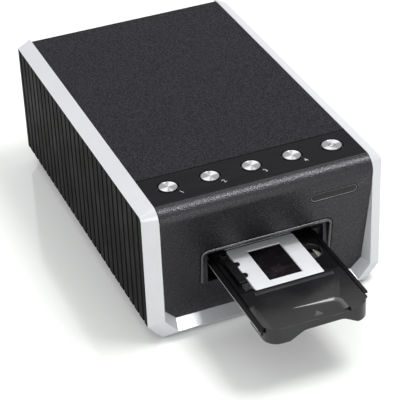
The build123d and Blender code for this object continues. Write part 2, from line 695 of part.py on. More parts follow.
with BuildPart() as board_screws:
    for x, y in board_spots:
        with BuildSketch(Plane.XY.offset(FLOOR_Z)):
            with Locations((x, y)):
                Circle(SCREW_R)
        extrude(amount=MAIN_Z + BOARD_T - FLOOR_Z)
        with BuildSketch(Plane.XY.offset(MAIN_Z + BOARD_T)):
            with Locations((x, y)):
                RegularPolygon(SCREW_HEAD_R, 6)
        extrude(amount=SCREW_HEAD_H)
    for x, y in post_spots:
        with BuildSketch(Plane.XY.offset(BOARD_TOP - BOARD_T)):
            with Locations((x, y)):
                Circle(SCREW_R)
        extrude(amount=BOARD_T + CONTROL_BOARD_DROP / 2)
        with BuildSketch(Plane.XY.offset(BOARD_TOP - BOARD_T)):
            with Locations((x, y)):
                RegularPolygon(SCREW_HEAD_R, 6)
        extrude(amount=-SCREW_HEAD_H)
board_screws.part.label = "board_screws"
export_step(board_screws.part, "parts/board_screws.step")

with BuildPart() as usb_port:
    add(block((USB_X - USB_W / 2, USB_X + USB_W / 2), (REAR_FACE - USB_L, REAR_FACE),
              (MAIN_Z + BOARD_T, MAIN_Z + BOARD_T + USB_H)))
    bore_low = MAIN_Z + BOARD_T + (USB_H - USB_BORE_H) / 2
    add(block((USB_X - USB_BORE_W / 2, USB_X + USB_BORE_W / 2), (REAR_FACE - USB_BORE_D, REAR_FACE),
              (bore_low, bore_low + USB_BORE_H)), mode=Mode.SUBTRACT)
    tongue_half = USB_BORE_W / 3
    add(block((USB_X - tongue_half, USB_X + tongue_half),
              (REAR_FACE - USB_BORE_D, REAR_FACE - USB_BORE_D / 6),
              (bore_low + USB_BORE_H * 0.62, bore_low + USB_BORE_H * 0.88)))
usb_port.part.label = "usb_port"
export_step(usb_port.part, "parts/usb_port.step")

with BuildPart() as power_jack:
    jack_low = MAIN_Z + BOARD_T
    add(block((JACK_X - JACK_W / 2, JACK_X + JACK_W / 2), (REAR_FACE - JACK_L, REAR_FACE),
              (jack_low, jack_low + JACK_H)))
    with BuildSketch(Plane.XZ.offset(-REAR_FACE)):
        with Locations((JACK_X, jack_low + JACK_H / 2)):
            Circle(JACK_BORE_R)
    extrude(amount=JACK_BORE_D, mode=Mode.SUBTRACT)
    with BuildSketch(Plane.XZ.offset(-REAR_FACE + 1)):
        with Locations((JACK_X, jack_low + JACK_H / 2)):
            Circle(JACK_PIN_R)
    extrude(amount=JACK_BORE_D)
power_jack.part.label = "power_jack"
export_step(power_jack.part, "parts/power_jack.step")

with BuildPart() as control_board:
    with BuildSketch(Plane.XY.offset(BOARD_TOP)):
        with Locations((0, back((STRIP_FRONT + STRIP_BACK) / 2 + STRIP_T / 2))):
            Rectangle(CONTROL_BOARD_W, CONTROL_BOARD_D)
        with Locations(*post_spots):
            Circle(SCREW_R, mode=Mode.SUBTRACT)
    extrude(amount=-BOARD_T)
control_board.part.label = "control_board"
export_step(control_board.part, "parts/control_board.step")

with BuildPart() as key_switches:
    with BuildSketch(Plane.XY.offset(BOARD_TOP)):
        with Locations(*[(x, KEY_Y) for x in key_x]):
            Rectangle(SWITCH_W, SWITCH_W)
    extrude(amount=SWITCH_H)
    with BuildSketch(Plane.XY.offset(BOARD_TOP + SWITCH_H)):
        with Locations(*[(x, KEY_Y) for x in key_x]):
            Circle(SWITCH_TIP_R)
    extrude(amount=SWITCH_TIP_H)
key_switches.part.label = "key_switches"
export_step(key_switches.part, "parts/key_switches.step")

# ---------------------------------------------------------------- keys
STEM_LOW = BOARD_TOP + SWITCH_H + SWITCH_TIP_H + KEY_TRAVEL + GAP / 2
FLANGE_HIGH = COVER_INNER - GAP
for number, (x, radius) in enumerate(zip(key_x, cap_radii), start=1):
    hole_r = radius + KEY_RING
    cap_low = HEIGHT + KEY_PROUD - KEY_CAP_T
    with BuildPart() as key_stem:
        for low, high, half in (
            (STEM_LOW, FLANGE_HIGH - KEY_FLANGE_T, KEY_STEM_R),
            (FLANGE_HIGH - KEY_FLANGE_T, FLANGE_HIGH, radius + KEY_FLANGE_RIM),
        ):
            add(block((x - half, x + half), (KEY_Y - half, KEY_Y + half), (low, high)))
        with BuildSketch(Plane.XY.offset(FLANGE_HIGH)):
            with Locations((x, KEY_Y)):
                Circle(hole_r - COLLAR_CLEAR)
        extrude(amount=cap_low - FLANGE_HIGH)
    key_stem.part.label = f"key_stem_{number}"
    export_step(key_stem.part, f"parts/key_stem_{number}.step")
    with BuildPart() as key_cap:
        with BuildSketch(Plane.XY.offset(cap_low)):
            with Locations((x, KEY_Y)):
                Circle(radius)
        extrude(amount=KEY_CAP_T)
        chamfer(key_cap.edges().group_by(Axis.Z)[-1], KEY_PROUD)
    key_cap.part.label = f"key_cap_{number}"
    export_step(key_cap.part, f"parts/key_cap_{number}.step")

# ---------------------------------------------------------------- tray
def rail_profile(side):
    """Section of a tray rail: upright web, outward flange set a step down, inward lip."""
    lip_in = RAIL_IN - LIP_W if side < 0 else RAIL_IN
    points = [
        (RAIL_IN, TRAY_TOP), (RAIL_OUT, TRAY_TOP), (RAIL_OUT, FLANGE_TOP), (FLANGE_OUT, FLANGE_TOP),
        (FLANGE_OUT, FLANGE_LOW), (RAIL_OUT, FLANGE_LOW), (RAIL_OUT, WEB_LOW), (lip_in, WEB_LOW),
    ]
    if side < 0:
        points += [(lip_in, LIP_TOP), (RAIL_IN, LIP_TOP)]
    return [(side * x, z) for x, z in points]


with BuildPart() as left_rail:
    with BuildSketch(section_plane(TRAY_TAIL)):
        Polygon(*rail_profile(-1), align=None)
    extrude(amount=TRAY_TAIL + LEFT_TIP)
    add(block((-RAIL_IN, -RAIL_IN + 2 * LIP_W), (back(-LEFT_TIP), back(GRIP_BACK + GAP)),
              (WEB_LOW - LIP_T, TRAY_TOP)), mode=Mode.SUBTRACT)
left_rail.part.label = "left_rail"
export_step(left_rail.part, "parts/left_rail.step")

with BuildPart() as right_rail:
    with BuildSketch(section_plane(TRAY_TAIL)):
        Polygon(*rail_profile(1), align=None)
    extrude(amount=TRAY_TAIL + RIGHT_TIP)
    add(block((RAIL_OUT, FLANGE_OUT), (back(-RIGHT_TIP), back(LUG_L - RIGHT_TIP)), (WEB_LOW, WEB_LOW + LUG_H)))
right_rail.part.label = "right_rail"
export_step(right_rail.part, "parts/right_rail.step")

with BuildPart() as cross_bar:
    add(block((-RAIL_IN, RAIL_IN), (back(TRAY_TAIL - CROSS_T), back(TRAY_TAIL)), (WEB_LOW, TRAY_TOP)))
    add(block((-RAIL_IN, -RAIL_IN + LIP_W), (back(0), back(TRAY_TAIL)), (WEB_LOW, LIP_TOP)),
        mode=Mode.SUBTRACT)
cross_bar.part.label = "cross_bar"
export_step(cross_bar.part, "parts/cross_bar.step")

# rack: teeth face down, a gap of the rack stands over the drive shaft as it rests
with BuildPart() as drive_rack:
    rack_front = SHAFT_Y - TRAVEL_IN - RACK_PITCH
    rack_back = back(TRAY_TAIL - CROSS_T)
    root = RACK_TIP + 2.25 * RACK_MODULE
    tan_pressure = tan(radians(PRESSURE_ANGLE))
    tip_half = (RACK_PITCH / 2 - TOOTH_PLAY) / 2 - RACK_MODULE * tan_pressure
    root_half = tip_half + 2.25 * RACK_MODULE * tan_pressure
    first = int((rack_front - SHAFT_Y) / RACK_PITCH) + 1
    last = int((rack_back - SHAFT_Y) / RACK_PITCH) - 1
    with BuildSketch(Plane.YZ.offset(RAIL_IN - RACK_W)):
        with BuildLine():
            outline = [(rack_front, LIP_TOP), (rack_front, root)]
            for tooth in range(first, last + 1):
                middle = SHAFT_Y + (tooth + 0.5) * RACK_PITCH
                outline += [
                    (middle - root_half, root), (middle - tip_half, RACK_TIP),
                    (middle + tip_half, RACK_TIP), (middle + root_half, root),
                ]
            outline += [(rack_back, root), (rack_back, LIP_TOP)]
            Polyline(*outline, close=True)
        make_face()
    extrude(amount=RACK_W)
drive_rack.part.label = "drive_rack"
export_step(drive_rack.part, "parts/drive_rack.step")

# ---------------------------------------------------------------- film holder
bay_y = [back(FIRST_BAY + BAY_PITCH * n) for n in range(BAY_COUNT)]
BAY_HALF = MOUNT_SIZE / 2 + BAY_CLEAR
BAY_FLOOR = TRAY_TOP - MOUNT_T - BAY_CLEAR / 2
with BuildPart() as holder_frame:
    add(block((-HOLDER_HALF, HOLDER_HALF), (back(GRIP_BACK), back(HOLDER_TAIL)), (HOLDER_LOW, TRAY_TOP)))
    for y in bay_y:
        add(block((-BAY_HALF, BAY_HALF), (y - BAY_HALF, y + BAY_HALF), (BAY_FLOOR, HEIGHT)),
            mode=Mode.SUBTRACT)
        add(block((-BAY_HALF - SPRING_CHANNEL, 0), (y - BAY_HALF + WALL, y + BAY_HALF - WALL),
                  (BAY_FLOOR, HEIGHT)), mode=Mode.SUBTRACT)
        add(block((-LIGHT_W / 2, LIGHT_W / 2), (y - LIGHT_L / 2, y + LIGHT_L / 2), (0, HEIGHT)),
            mode=Mode.SUBTRACT)
        with Locations((BAY_HALF, y, 0)):
            Cylinder(SCOOP_R, HEIGHT, align=(Align.CENTER, Align.CENTER, Align.MIN), mode=Mode.SUBTRACT)
holder_frame.part.label = "holder_frame"
export_step(holder_frame.part, "parts/holder_frame.step")

# hold-down clips: a bar beside each bay with two nubs over the mount's edge
with BuildPart() as hold_down_clips:
    for y in bay_y:
        with BuildSketch(Plane.XY.offset(TRAY_TOP)):
            with Locations((-BAY_HALF - 3 * NUB_R / 2 - GAP, y)):
                Rectangle(2 * NUB_R, 2 * NUB_PITCH)
            with Locations((-BAY_HALF + GAP, y)):
                with GridLocations(0, NUB_PITCH, 1, 2):
                    Circle(NUB_R)
                    with Locations((-NUB_R, 0)):
                        Rectangle(2 * NUB_R, 2 * NUB_R)
        extrude(amount=NUB_LIFT)
        with BuildSketch(Plane.XY.offset(BAY_FLOOR)):
            with Locations((-BAY_HALF - 3 * NUB_R / 2 - GAP, y)):
                Rectangle(2 * NUB_R - GAP, 2 * NUB_PITCH - GAP)
        extrude(amount=TRAY_TOP - BAY_FLOOR)
hold_down_clips.part.label = "hold_down_clips"
export_step(hold_down_clips.part, "parts/hold_down_clips.step")

# mount springs: flat wire folded to and fro in the groove beside each bay
with BuildPart() as mount_springs:
    for y in bay_y:
        for end in (-1, 1):
            start = y + end * (NUB_PITCH + GAP)
            reach = -BAY_HALF - SPRING_WIRE
            rest = reach - SPRING_CHANNEL / 2
            with BuildSketch(Plane.XY.offset(BAY_FLOOR)):
                with BuildLine() as fold:
                    corners = [(rest, start + end * SPRING_FOLD / 2)]
                    for n in range(1, 5):
                        side = reach if n % 2 else rest
                        corners += [
                            (side, start + end * (n - 0.5) * SPRING_FOLD),
                            (side, start + end * (n + 0.5) * SPRING_FOLD),
                        ]
                    Polyline(*corners)
                trace(line_width=SPRING_WIRE)
            extrude(amount=SPRING_H)
mount_springs.part.label = "mount_springs"
export_step(mount_springs.part, "parts/mount_springs.step")

with BuildPart() as slide_mounts:
    for y in bay_y:
        with BuildSketch(Plane.XY.offset(TRAY_TOP - MOUNT_T)):
            with Locations((0, y)):
                RectangleRounded(MOUNT_SIZE, MOUNT_SIZE, MOUNT_R)
                Rectangle(FILM_W, FILM_L, mode=Mode.SUBTRACT)
        extrude(amount=MOUNT_T)
slide_mounts.part.label = "slide_mounts"
export_step(slide_mounts.part, "parts/slide_mounts.step")

with BuildPart() as film_chips:
    with BuildSketch(Plane.XY.offset(TRAY_TOP - MOUNT_T / 2 - FILM_T / 2)):
        with Locations(*[(0, y) for y in bay_y]):
            Rectangle(FILM_W, FILM_L)
    extrude(amount=FILM_T)
film_chips.part.label = "film_chips"
export_step(film_chips.part, "parts/film_chips.step")

# grip: slab with round corners, an arched apron under its front, a thumb scoop on top
with BuildPart() as holder_grip:
    tip = back(-HOLDER_REACH)
    with BuildSketch(Plane.XY.offset(TRAY_TOP)) as grip_plan:
        with Locations((0, tip)):
            Rectangle(2 * HOLDER_HALF, GRIP_L, align=(Align.CENTER, Align.MIN))
        fillet(grip_plan.vertices().group_by(Axis.Y)[0], GRIP_R)
    extrude(amount=-APRON_DROP)
    add(block((-HOLDER_HALF, HOLDER_HALF), (tip + APRON_L, back(GRIP_BACK)), (0, HOLDER_LOW)),
        mode=Mode.SUBTRACT)
    apron_low = TRAY_TOP - APRON_DROP
    with BuildSketch(section_plane(GRIP_BACK)) as arch:
        with BuildLine():
            Polyline(
                (ARCH_LEFT, apron_low - 1), (ARCH_LEFT, apron_low),
                (ARCH_LEFT + ARCH_RUN, apron_low + ARCH_LIFT),
                (ARCH_RIGHT - ARCH_RUN, apron_low + ARCH_LIFT), (ARCH_RIGHT, apron_low),
                (ARCH_RIGHT, apron_low - 1), close=True,
            )
        make_face()
        fillet(arch.vertices().group_by(Axis.Y)[-1], ARCH_RUN)
    extrude(amount=GRIP_L, mode=Mode.SUBTRACT)
    scoop_run = SCOOP_RIGHT - SCOOP_LEFT
    scoop_floor = Plane(
        origin=(SCOOP_LEFT, tip, TRAY_TOP), x_dir=(scoop_run, 0, -SCOOP_D), z_dir=(SCOOP_D, 0, scoop_run),
    )
    with BuildSketch(scoop_floor) as scoop:
        Rectangle(scoop_run, SCOOP_L, align=Align.MIN)
        fillet(scoop.vertices().group_by(Axis.Y)[-1].sort_by(Axis.X)[-1], SCOOP_CORNER)
        with Locations((0, -GRIP_R)):
            Rectangle(scoop_run, GRIP_R, align=Align.MIN)
    extrude(amount=2 * SCOOP_D, mode=Mode.SUBTRACT)
    with BuildSketch(section_plane(-HOLDER_REACH + GRIP_L - APRON_L / 2)):
        Polygon(
            (-HOLDER_HALF, TRAY_TOP), (-HOLDER_HALF + GRIP_BEVEL_X, TRAY_TOP),
            (-HOLDER_HALF, TRAY_TOP - GRIP_BEVEL_Z), align=None,
        )
    extrude(amount=GRIP_L, mode=Mode.SUBTRACT)
holder_grip.part.label = "holder_grip"
export_step(holder_grip.part, "parts/holder_grip.step")

# ---------------------------------------------------------------- tray guides
with BuildPart() as right_guide:
    length = (back(GUIDE_FRONT), back(GUIDE_BACK))
    add(block((GUIDE_PLATE_X, GUIDE_OUT), length, (FLOOR_Z, GUIDE_TOP)))
    add(block((RAIL_OUT + GUIDE_CLEAR, GUIDE_PLATE_X), length,
              (FLANGE_LOW - GUIDE_CLEAR - GUIDE_JAW, FLANGE_TOP + GUIDE_CLEAR + GUIDE_JAW)))
    add(block((RAIL_OUT, FLANGE_OUT + GUIDE_CLEAR), length,
              (FLANGE_LOW - GUIDE_CLEAR, FLANGE_TOP + GUIDE_CLEAR)), mode=Mode.SUBTRACT)
    plain_guide = right_guide.part
    with BuildSketch(axle_plane(0, SHAFT_Y, SHAFT_Z)):
        Circle(BUSH_R)
    extrude(amount=HALF, mode=Mode.SUBTRACT)
    with BuildSketch(axle_plane(0, REDUCTION_Y, REDUCTION_Z)):
        Circle(AXLE_R)
    extrude(amount=HALF, mode=Mode.SUBTRACT)
right_guide.part.label = "right_guide"
export_step(right_guide.part, "parts/right_guide.step")

with BuildPart() as left_guide:
    add(plain_guide)
    mirror(about=Plane.YZ, mode=Mode.REPLACE)
left_guide.part.label = "left_guide"
export_step(left_guide.part, "parts/left_guide.step")

# ---------------------------------------------------------------- drive
with BuildPart() as drive_shaft:
    shaft_start = RAIL_IN - RACK_W - 2 * TRAIN_GAP - POST_T - GAP
    with BuildSketch(axle_plane(shaft_start, SHAFT_Y, SHAFT_Z)):
        Circle(SHAFT_R)
    extrude(amount=WHEEL_1_X + GEAR_W + TRAIN_GAP - shaft_start)
drive_shaft.part.label = "drive_shaft"
export_step(drive_shaft.part, "parts/drive_shaft.step")

with BuildPart() as shaft_post:
    post_x = RAIL_IN - RACK_W - 2 * TRAIN_GAP - POST_T
    add(block((post_x, post_x + POST_T), (SHAFT_Y - 3 * SHAFT_R, SHAFT_Y + 3 * SHAFT_R),
              (FLOOR_Z, SHAFT_Z + 2 * SHAFT_R)))
    with BuildSketch(axle_plane(post_x, SHAFT_Y, SHAFT_Z)):
        Circle(SHAFT_R + RUN_CLEAR)
    extrude(amount=POST_T, mode=Mode.SUBTRACT)
shaft_post.part.label = "shaft_post"
export_step(shaft_post.part, "parts/shaft_post.step")

with BuildPart() as shaft_bush:
    with BuildSketch(axle_plane(GUIDE_PLATE_X, SHAFT_Y, SHAFT_Z)):
        Circle(BUSH_R)
    extrude(amount=GUIDE_PLATE_T)
    with BuildSketch(axle_plane(GUIDE_PLATE_X, SHAFT_Y, SHAFT_Z)):
        Circle(BUSH_FLANGE_R)
    extrude(amount=-BUSH_FLANGE_T)
    with BuildSketch(axle_plane(0, SHAFT_Y, SHAFT_Z)):
        Circle(SHAFT_R + RUN_CLEAR)
    extrude(amount=HALF, mode=Mode.SUBTRACT)
shaft_bush.part.label = "shaft_bush"
export_step(shaft_bush.part, "parts/shaft_bush.step")

with BuildPart() as rack_pinion:
    with BuildSketch(axle_plane(RAIL_IN - RACK_W, SHAFT_Y, SHAFT_Z)):
        add(gear_face(RACK_MODULE, RACK_PINION_TEETH, 90, SHAFT_R))
    extrude(amount=RACK_W - GAP)
rack_pinion.part.label = "rack_pinion"
export_step(rack_pinion.part, "parts/rack_pinion.step")

with BuildPart() as drive_gear:
    with BuildSketch(axle_plane(WHEEL_1_X, SHAFT_Y, SHAFT_Z)):
        add(gear_face(TRAIN_MODULE, LARGE_TEETH, TRAIN_DROP_1, SHAFT_R))
    extrude(amount=GEAR_W)
drive_gear.part.label = "drive_gear"
export_step(drive_gear.part, "parts/drive_gear.step")

with BuildPart() as reduction_gear:
    with BuildSketch(axle_plane(WHEEL_1_X, REDUCTION_Y, REDUCTION_Z)):
        add(gear_face(TRAIN_MODULE, SMALL_TEETH, TRAIN_DROP_1 + 180 + 180 / SMALL_TEETH, AXLE_R + RUN_CLEAR))
    extrude(amount=GEAR_W + TRAIN_GAP)
    with BuildSketch(axle_plane(WHEEL_2_X, REDUCTION_Y, REDUCTION_Z)):
        add(gear_face(TRAIN_MODULE, LARGE_TEETH, TRAIN_DROP_2, AXLE_R + RUN_CLEAR))
    extrude(amount=GEAR_W)
reduction_gear.part.label = "reduction_gear"
export_step(reduction_gear.part, "parts/reduction_gear.step")

with BuildPart() as reduction_axle:
    with BuildSketch(axle_plane(GUIDE_PLATE_X, REDUCTION_Y, REDUCTION_Z)):
        Circle(AXLE_R)
    extrude(amount=MOTOR_X - GUIDE_PLATE_X)
reduction_axle.part.label = "reduction_axle"
export_step(reduction_axle.part, "parts/reduction_axle.step")

with BuildPart() as motor_pinion:
    with BuildSketch(axle_plane(WHEEL_2_X, MOTOR_Y, MOTOR_Z)):
        add(gear_face(TRAIN_MODULE, SMALL_TEETH, TRAIN_DROP_2 + 180 + 180 / SMALL_TEETH, MOTOR_SHAFT_R))
    extrude(amount=GEAR_W)
motor_pinion.part.label = "motor_pinion"
export_step(motor_pinion.part, "parts/motor_pinion.step")

with BuildPart() as motor_shaft:
    with BuildSketch(axle_plane(WHEEL_2_X, MOTOR_Y, MOTOR_Z)):
        Circle(MOTOR_SHAFT_R)
    extrude(amount=MOTOR_X + MOTOR_L / 3 - WHEEL_2_X)
motor_shaft.part.label = "motor_shaft"
export_step(motor_shaft.part, "parts/motor_shaft.step")

with BuildPart() as stepper_motor:
    with BuildSketch(axle_plane(MOTOR_X, MOTOR_Y, MOTOR_Z)):
        Circle(MOTOR_R)
    extrude(amount=MOTOR_L)
    chamfer(stepper_motor.edges().group_by(Axis.X)[-1], BRACKET_T)
    with BuildSketch(axle_plane(MOTOR_X, MOTOR_Y, MOTOR_Z)):
        Circle(MOTOR_SHAFT_R + RUN_CLEAR)
    extrude(amount=MOTOR_L / 3 + GAP, mode=Mode.SUBTRACT)
stepper_motor.part.label = "stepper_motor"
export_step(stepper_motor.part, "parts/stepper_motor.step")

with BuildPart() as motor_bracket:
    along = (REDUCTION_Y - 4 * AXLE_R, MOTOR_Y + MOTOR_R)
    add(block((BRACKET_X, MOTOR_X), along, (FLOOR_Z, MOTOR_Z + MOTOR_R)))
    add(block((BRACKET_X, MOTOR_X + MOTOR_L), along, (FLOOR_Z, FLOOR_Z + BRACKET_T)))
    with BuildSketch(axle_plane(BRACKET_X, MOTOR_Y, MOTOR_Z)):
        Circle(3 * MOTOR_SHAFT_R)
    extrude(amount=BRACKET_T, mode=Mode.SUBTRACT)
    with BuildSketch(axle_plane(BRACKET_X, REDUCTION_Y, REDUCTION_Z)):
        Circle(AXLE_R)
    extrude(amount=BRACKET_T, mode=Mode.SUBTRACT)
motor_bracket.part.label = "motor_bracket"
export_step(motor_bracket.part, "parts/motor_bracket.step")

# ---------------------------------------------------------------- light and optics
with BuildPart() as lamp_bridge:
    with BuildSketch(Plane.XY.offset(GUIDE_TOP)):
        with Locations((0, SHAFT_Y)):
            Rectangle(2 * GUIDE_OUT, BRIDGE_L)
            Rectangle(LAMP_SLIT_W, LAMP_SLIT_L, mode=Mode.SUBTRACT)
    extrude(amount=BRIDGE_T)
lamp_bridge.part.label = "lamp_bridge"
export_step(lamp_bridge.part, "parts/lamp_bridge.step")

with BuildPart() as lamp_diffuser:
    with BuildSketch(Plane.XY.offset(GUIDE_TOP)):
        with Locations((0, SHAFT_Y)):
            Rectangle(LAMP_SLIT_W - GAP, LAMP_SLIT_L - GAP)
    extrude(amount=BRIDGE_T)
lamp_diffuser.part.label = "lamp_diffuser"
export_step(lamp_diffuser.part, "parts/lamp_diffuser.step")

with BuildPart() as lamp_housing:
    with BuildSketch(Plane.XY.offset(GUIDE_TOP + BRIDGE_T)):
        with Locations((0, SHAFT_Y)):
            Rectangle(LAMP_W, LAMP_L)
    extrude(amount=LAMP_H)
    chamfer(lamp_housing.edges().group_by(Axis.Z)[-1], WALL)
    with BuildSketch(Plane.XY.offset(GUIDE_TOP + BRIDGE_T)):
        with Locations((0, SHAFT_Y)):
            Rectangle(LAMP_W - 2 * WALL, LAMP_L - 2 * WALL)
    extrude(amount=LAMP_H - WALL, mode=Mode.SUBTRACT)
lamp_housing.part.label = "lamp_housing"
export_step(lamp_housing.part, "parts/lamp_housing.step")

with BuildPart() as led_bar:
    bar_top = GUIDE_TOP + BRIDGE_T + LAMP_H - WALL
    with BuildSketch(Plane.XY.offset(bar_top)):
        with Locations((0, SHAFT_Y)):
            Rectangle(LAMP_SLIT_W, LAMP_SLIT_L)
    extrude(amount=-BOARD_T)
    with BuildSketch(Plane.XY.offset(bar_top - BOARD_T)):
        with Locations((0, SHAFT_Y)):
            with GridLocations(LAMP_SLIT_W / 6, 0, 6, 1):
                Rectangle(LAMP_SLIT_L / 2, LAMP_SLIT_L / 2)
    extrude(amount=-BOARD_T)
led_bar.part.label = "led_bar"
export_step(led_bar.part, "parts/led_bar.step")

# optics box: open trough with a mirror wedge under the film and a lens wall behind it
with BuildPart() as optics_box:
    trough = (back(OPTICS_FRONT), back(OPTICS_BACK))
    add(block((-OPTICS_HALF, OPTICS_HALF), trough, (FLOOR_Z, FLOOR_Z + OPTICS_H)))
    add(block((-OPTICS_HALF + OPTICS_T, OPTICS_HALF - OPTICS_T), (trough[0] + OPTICS_T, trough[1] - OPTICS_T),
              (FLOOR_Z + OPTICS_T, HEIGHT)), mode=Mode.SUBTRACT)
    wedge_side = MIRROR_L / 2 ** 0.5
    with BuildSketch(Plane.YZ.offset(-OPTICS_HALF + OPTICS_T)):
        Polygon(
            (SHAFT_Y - wedge_side / 2, FLOOR_Z + OPTICS_T), (SHAFT_Y + wedge_side / 2, FLOOR_Z + OPTICS_T),
            (SHAFT_Y - wedge_side / 2, FLOOR_Z + OPTICS_T + wedge_side), align=None,
        )
    extrude(amount=2 * (OPTICS_HALF - OPTICS_T))
    add(block((-OPTICS_HALF, OPTICS_HALF), (back(LENS_BACK), back(LENS_BACK) + LENS_L / 3),
              (FLOOR_Z, FLOOR_Z + OPTICS_H)))
    with BuildSketch(section_plane(LENS_BACK + LENS_L)):
        with Locations((0, LENS_Z)):
            Circle(LENS_R)
    extrude(amount=2 * LENS_L, mode=Mode.SUBTRACT)
optics_box.part.label = "optics_box"
export_step(optics_box.part, "parts/optics_box.step")

with BuildPart() as mirror_plate:
    face = Plane(
        origin=(0, SHAFT_Y, FLOOR_Z + OPTICS_T + wedge_side / 2), x_dir=(1, 0, 0), z_dir=(0, 1, 1),
    )
    with BuildSketch(face):
        Rectangle(MIRROR_W, MIRROR_L - 2 * MIRROR_T)
    extrude(amount=MIRROR_T)
mirror_plate.part.label = "mirror"
export_step(mirror_plate.part, "parts/mirror.step")

with BuildPart() as lens_barrel:
    with BuildSketch(section_plane(LENS_BACK + 2 * LENS_L / 3)):
        with Locations((0, LENS_Z)):
            Circle(LENS_R)
            Circle(LENS_R - WALL, mode=Mode.SUBTRACT)
    extrude(amount=LENS_L)
lens_barrel.part.label = "lens_barrel"
export_step(lens_barrel.part, "parts/lens_barrel.step")

with BuildPart() as lens_glass:
    with BuildSketch(section_plane(LENS_BACK - LENS_L / 4)):
        with Locations((0, LENS_Z)):
            Circle(LENS_R - WALL)
    extrude(amount=WALL)
lens_glass.part.label = "lens_glass"
export_step(lens_glass.part, "parts/lens_glass.step")

with BuildPart() as sensor_board:
    sensor_back = OPTICS_BACK - OPTICS_T
    with BuildSketch(section_plane(sensor_back)):
        with Locations((0, LENS_Z)):
            Rectangle(2 * (OPTICS_HALF - OPTICS_T), 2 * (LENS_Z - FLOOR_Z - OPTICS_T))
    extrude(amount=BOARD_T)
    with BuildSketch(section_plane(sensor_back - BOARD_T)):
        with Locations((0, LENS_Z)):
            Rectangle(SENSOR_W, SENSOR_H)
    extrude(amount=SENSOR_T)
sensor_board.part.label = "sensor_board"
export_step(sensor_board.part, "parts/sensor_board.step")
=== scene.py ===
"""Looks of a desk-top film negative scanner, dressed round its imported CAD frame."""

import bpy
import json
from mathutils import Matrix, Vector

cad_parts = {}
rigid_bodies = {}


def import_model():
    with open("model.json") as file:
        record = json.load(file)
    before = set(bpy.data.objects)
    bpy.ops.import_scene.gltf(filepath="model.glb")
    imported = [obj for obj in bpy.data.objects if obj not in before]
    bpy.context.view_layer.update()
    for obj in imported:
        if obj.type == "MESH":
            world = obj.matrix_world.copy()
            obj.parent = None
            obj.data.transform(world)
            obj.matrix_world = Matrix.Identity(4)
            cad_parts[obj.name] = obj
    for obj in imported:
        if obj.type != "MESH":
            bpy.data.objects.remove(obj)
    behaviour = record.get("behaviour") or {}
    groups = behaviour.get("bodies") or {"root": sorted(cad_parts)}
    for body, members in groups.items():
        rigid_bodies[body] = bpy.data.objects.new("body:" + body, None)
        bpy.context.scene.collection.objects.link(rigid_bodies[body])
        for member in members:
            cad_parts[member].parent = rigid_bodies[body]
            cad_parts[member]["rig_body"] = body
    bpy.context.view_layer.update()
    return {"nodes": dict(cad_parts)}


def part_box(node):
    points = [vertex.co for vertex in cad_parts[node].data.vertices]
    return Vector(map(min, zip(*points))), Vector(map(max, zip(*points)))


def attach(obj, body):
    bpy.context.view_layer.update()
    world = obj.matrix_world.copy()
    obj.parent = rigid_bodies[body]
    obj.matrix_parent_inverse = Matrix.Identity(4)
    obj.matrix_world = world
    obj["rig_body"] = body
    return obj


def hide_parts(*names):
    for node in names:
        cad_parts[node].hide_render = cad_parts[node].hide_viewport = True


bl_info = {
    "name": "Film Negative Scanner",
    "version": (1, 0, 0),
    "blender": (4, 5, 0),
    "location": "3D View > Sidebar > Scanner",
    "description": "Finishes, keys, slide mounts, camera and studio of a desk-top film scanner",
    "category": "Object",
}

import json
import math

import bmesh
import bpy
import numpy as np
from bpy.props import FloatProperty, FloatVectorProperty, PointerProperty
from mathutils import Matrix, Vector

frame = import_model()
MM = 0.001

# places shared with the solids
FRONT_RIDGE = -0.09635
PANEL_SET = 0.00986
PANEL_LEAN = math.radians(6.5)
SURROUND_HALF = 0.0482
SURROUND_LOW = 0.0388
SURROUND_TOP = 0.0656
SURROUND_R = 0.0045
BADGE = (0.0485, 0.0864)
BADGE_LENGTH = 0.035
BADGE_WIDTH = 0.0068
MOUNT_BAYS = 4
BAY_PITCH = 0.051
FIRST_BAY = -0.0083
FINGER_HOLE = (0.0253, 0.009)
SCOOP_LEFT = -0.013
SCOOP_RUN = 0.035
SCOOP_DEPTH = 0.002
SCOOP_LENGTH = 0.0163
SCOOP_CORNER = 0.006
FLANGE_WIDTH = 0.0018
FLANGE_FOOT = 0.0023
PANEL_OUT = Vector((0, -math.cos(PANEL_LEAN), -math.sin(PANEL_LEAN)))
UP = (0, 0, 1)

# beads: half width and height of each, and how far its path stands from an edge or face
LIP = (0.0011, 0.0009)
LIP_INSET = 0.0010
LIP_SINK = 0.00015
SURROUND_JOINT = (0.00028, 0.00004)
SURROUND_JOINT_OUT = 0.0008
STRIP_JOINT = (0.0004, 0.00004)
STRIP_JOINT_BACK = 0.0001
BADGE_JOINT = (0.0003, 0.00012)
BADGE_EDGE = (0.0003, 0.00022)
BADGE_EDGE_INSET = 0.0004
BADGE_EDGE_SINK = 0.0002
RAIL_LINE = (0.0005, 0.0005)
RAIL_LINE_INSET = 0.0004
RAIL_LINE_END = 0.001
FINGER_RIM = (0.0004, 0.0003)
FINGER_RIM_SINK = 0.0001
FINGER_RIM_TURN = math.radians(72)

# badge plate, stepping in from its middle line: share of the outline and depth in mm
PLATE_SHARES = (0.0, 0.35, 0.65, 0.86, 0.93, 0.95)
PLATE_SINKS = (0.22, 0.23, 0.26, 0.32, 0.38, 0.5)

# key cap's profile, shares of its radius and of its dish, and where its black rim sets in
KEY_COUNT = 5
CAP_SIDES = 64
CAP_RADII = (0.0, 0.2, 0.4, 0.6, 0.76, 0.80, 0.83, 0.87, 0.96, 0.99, 1.0, 1.0)
CAP_DROPS = (0.5, 0.5, 0.5, 0.5, 0.5, 0.9, 0.9, 0.1, 0.0, 0.5, 1.2, 6.0)
CAP_RIM = (0.93, 0.945)

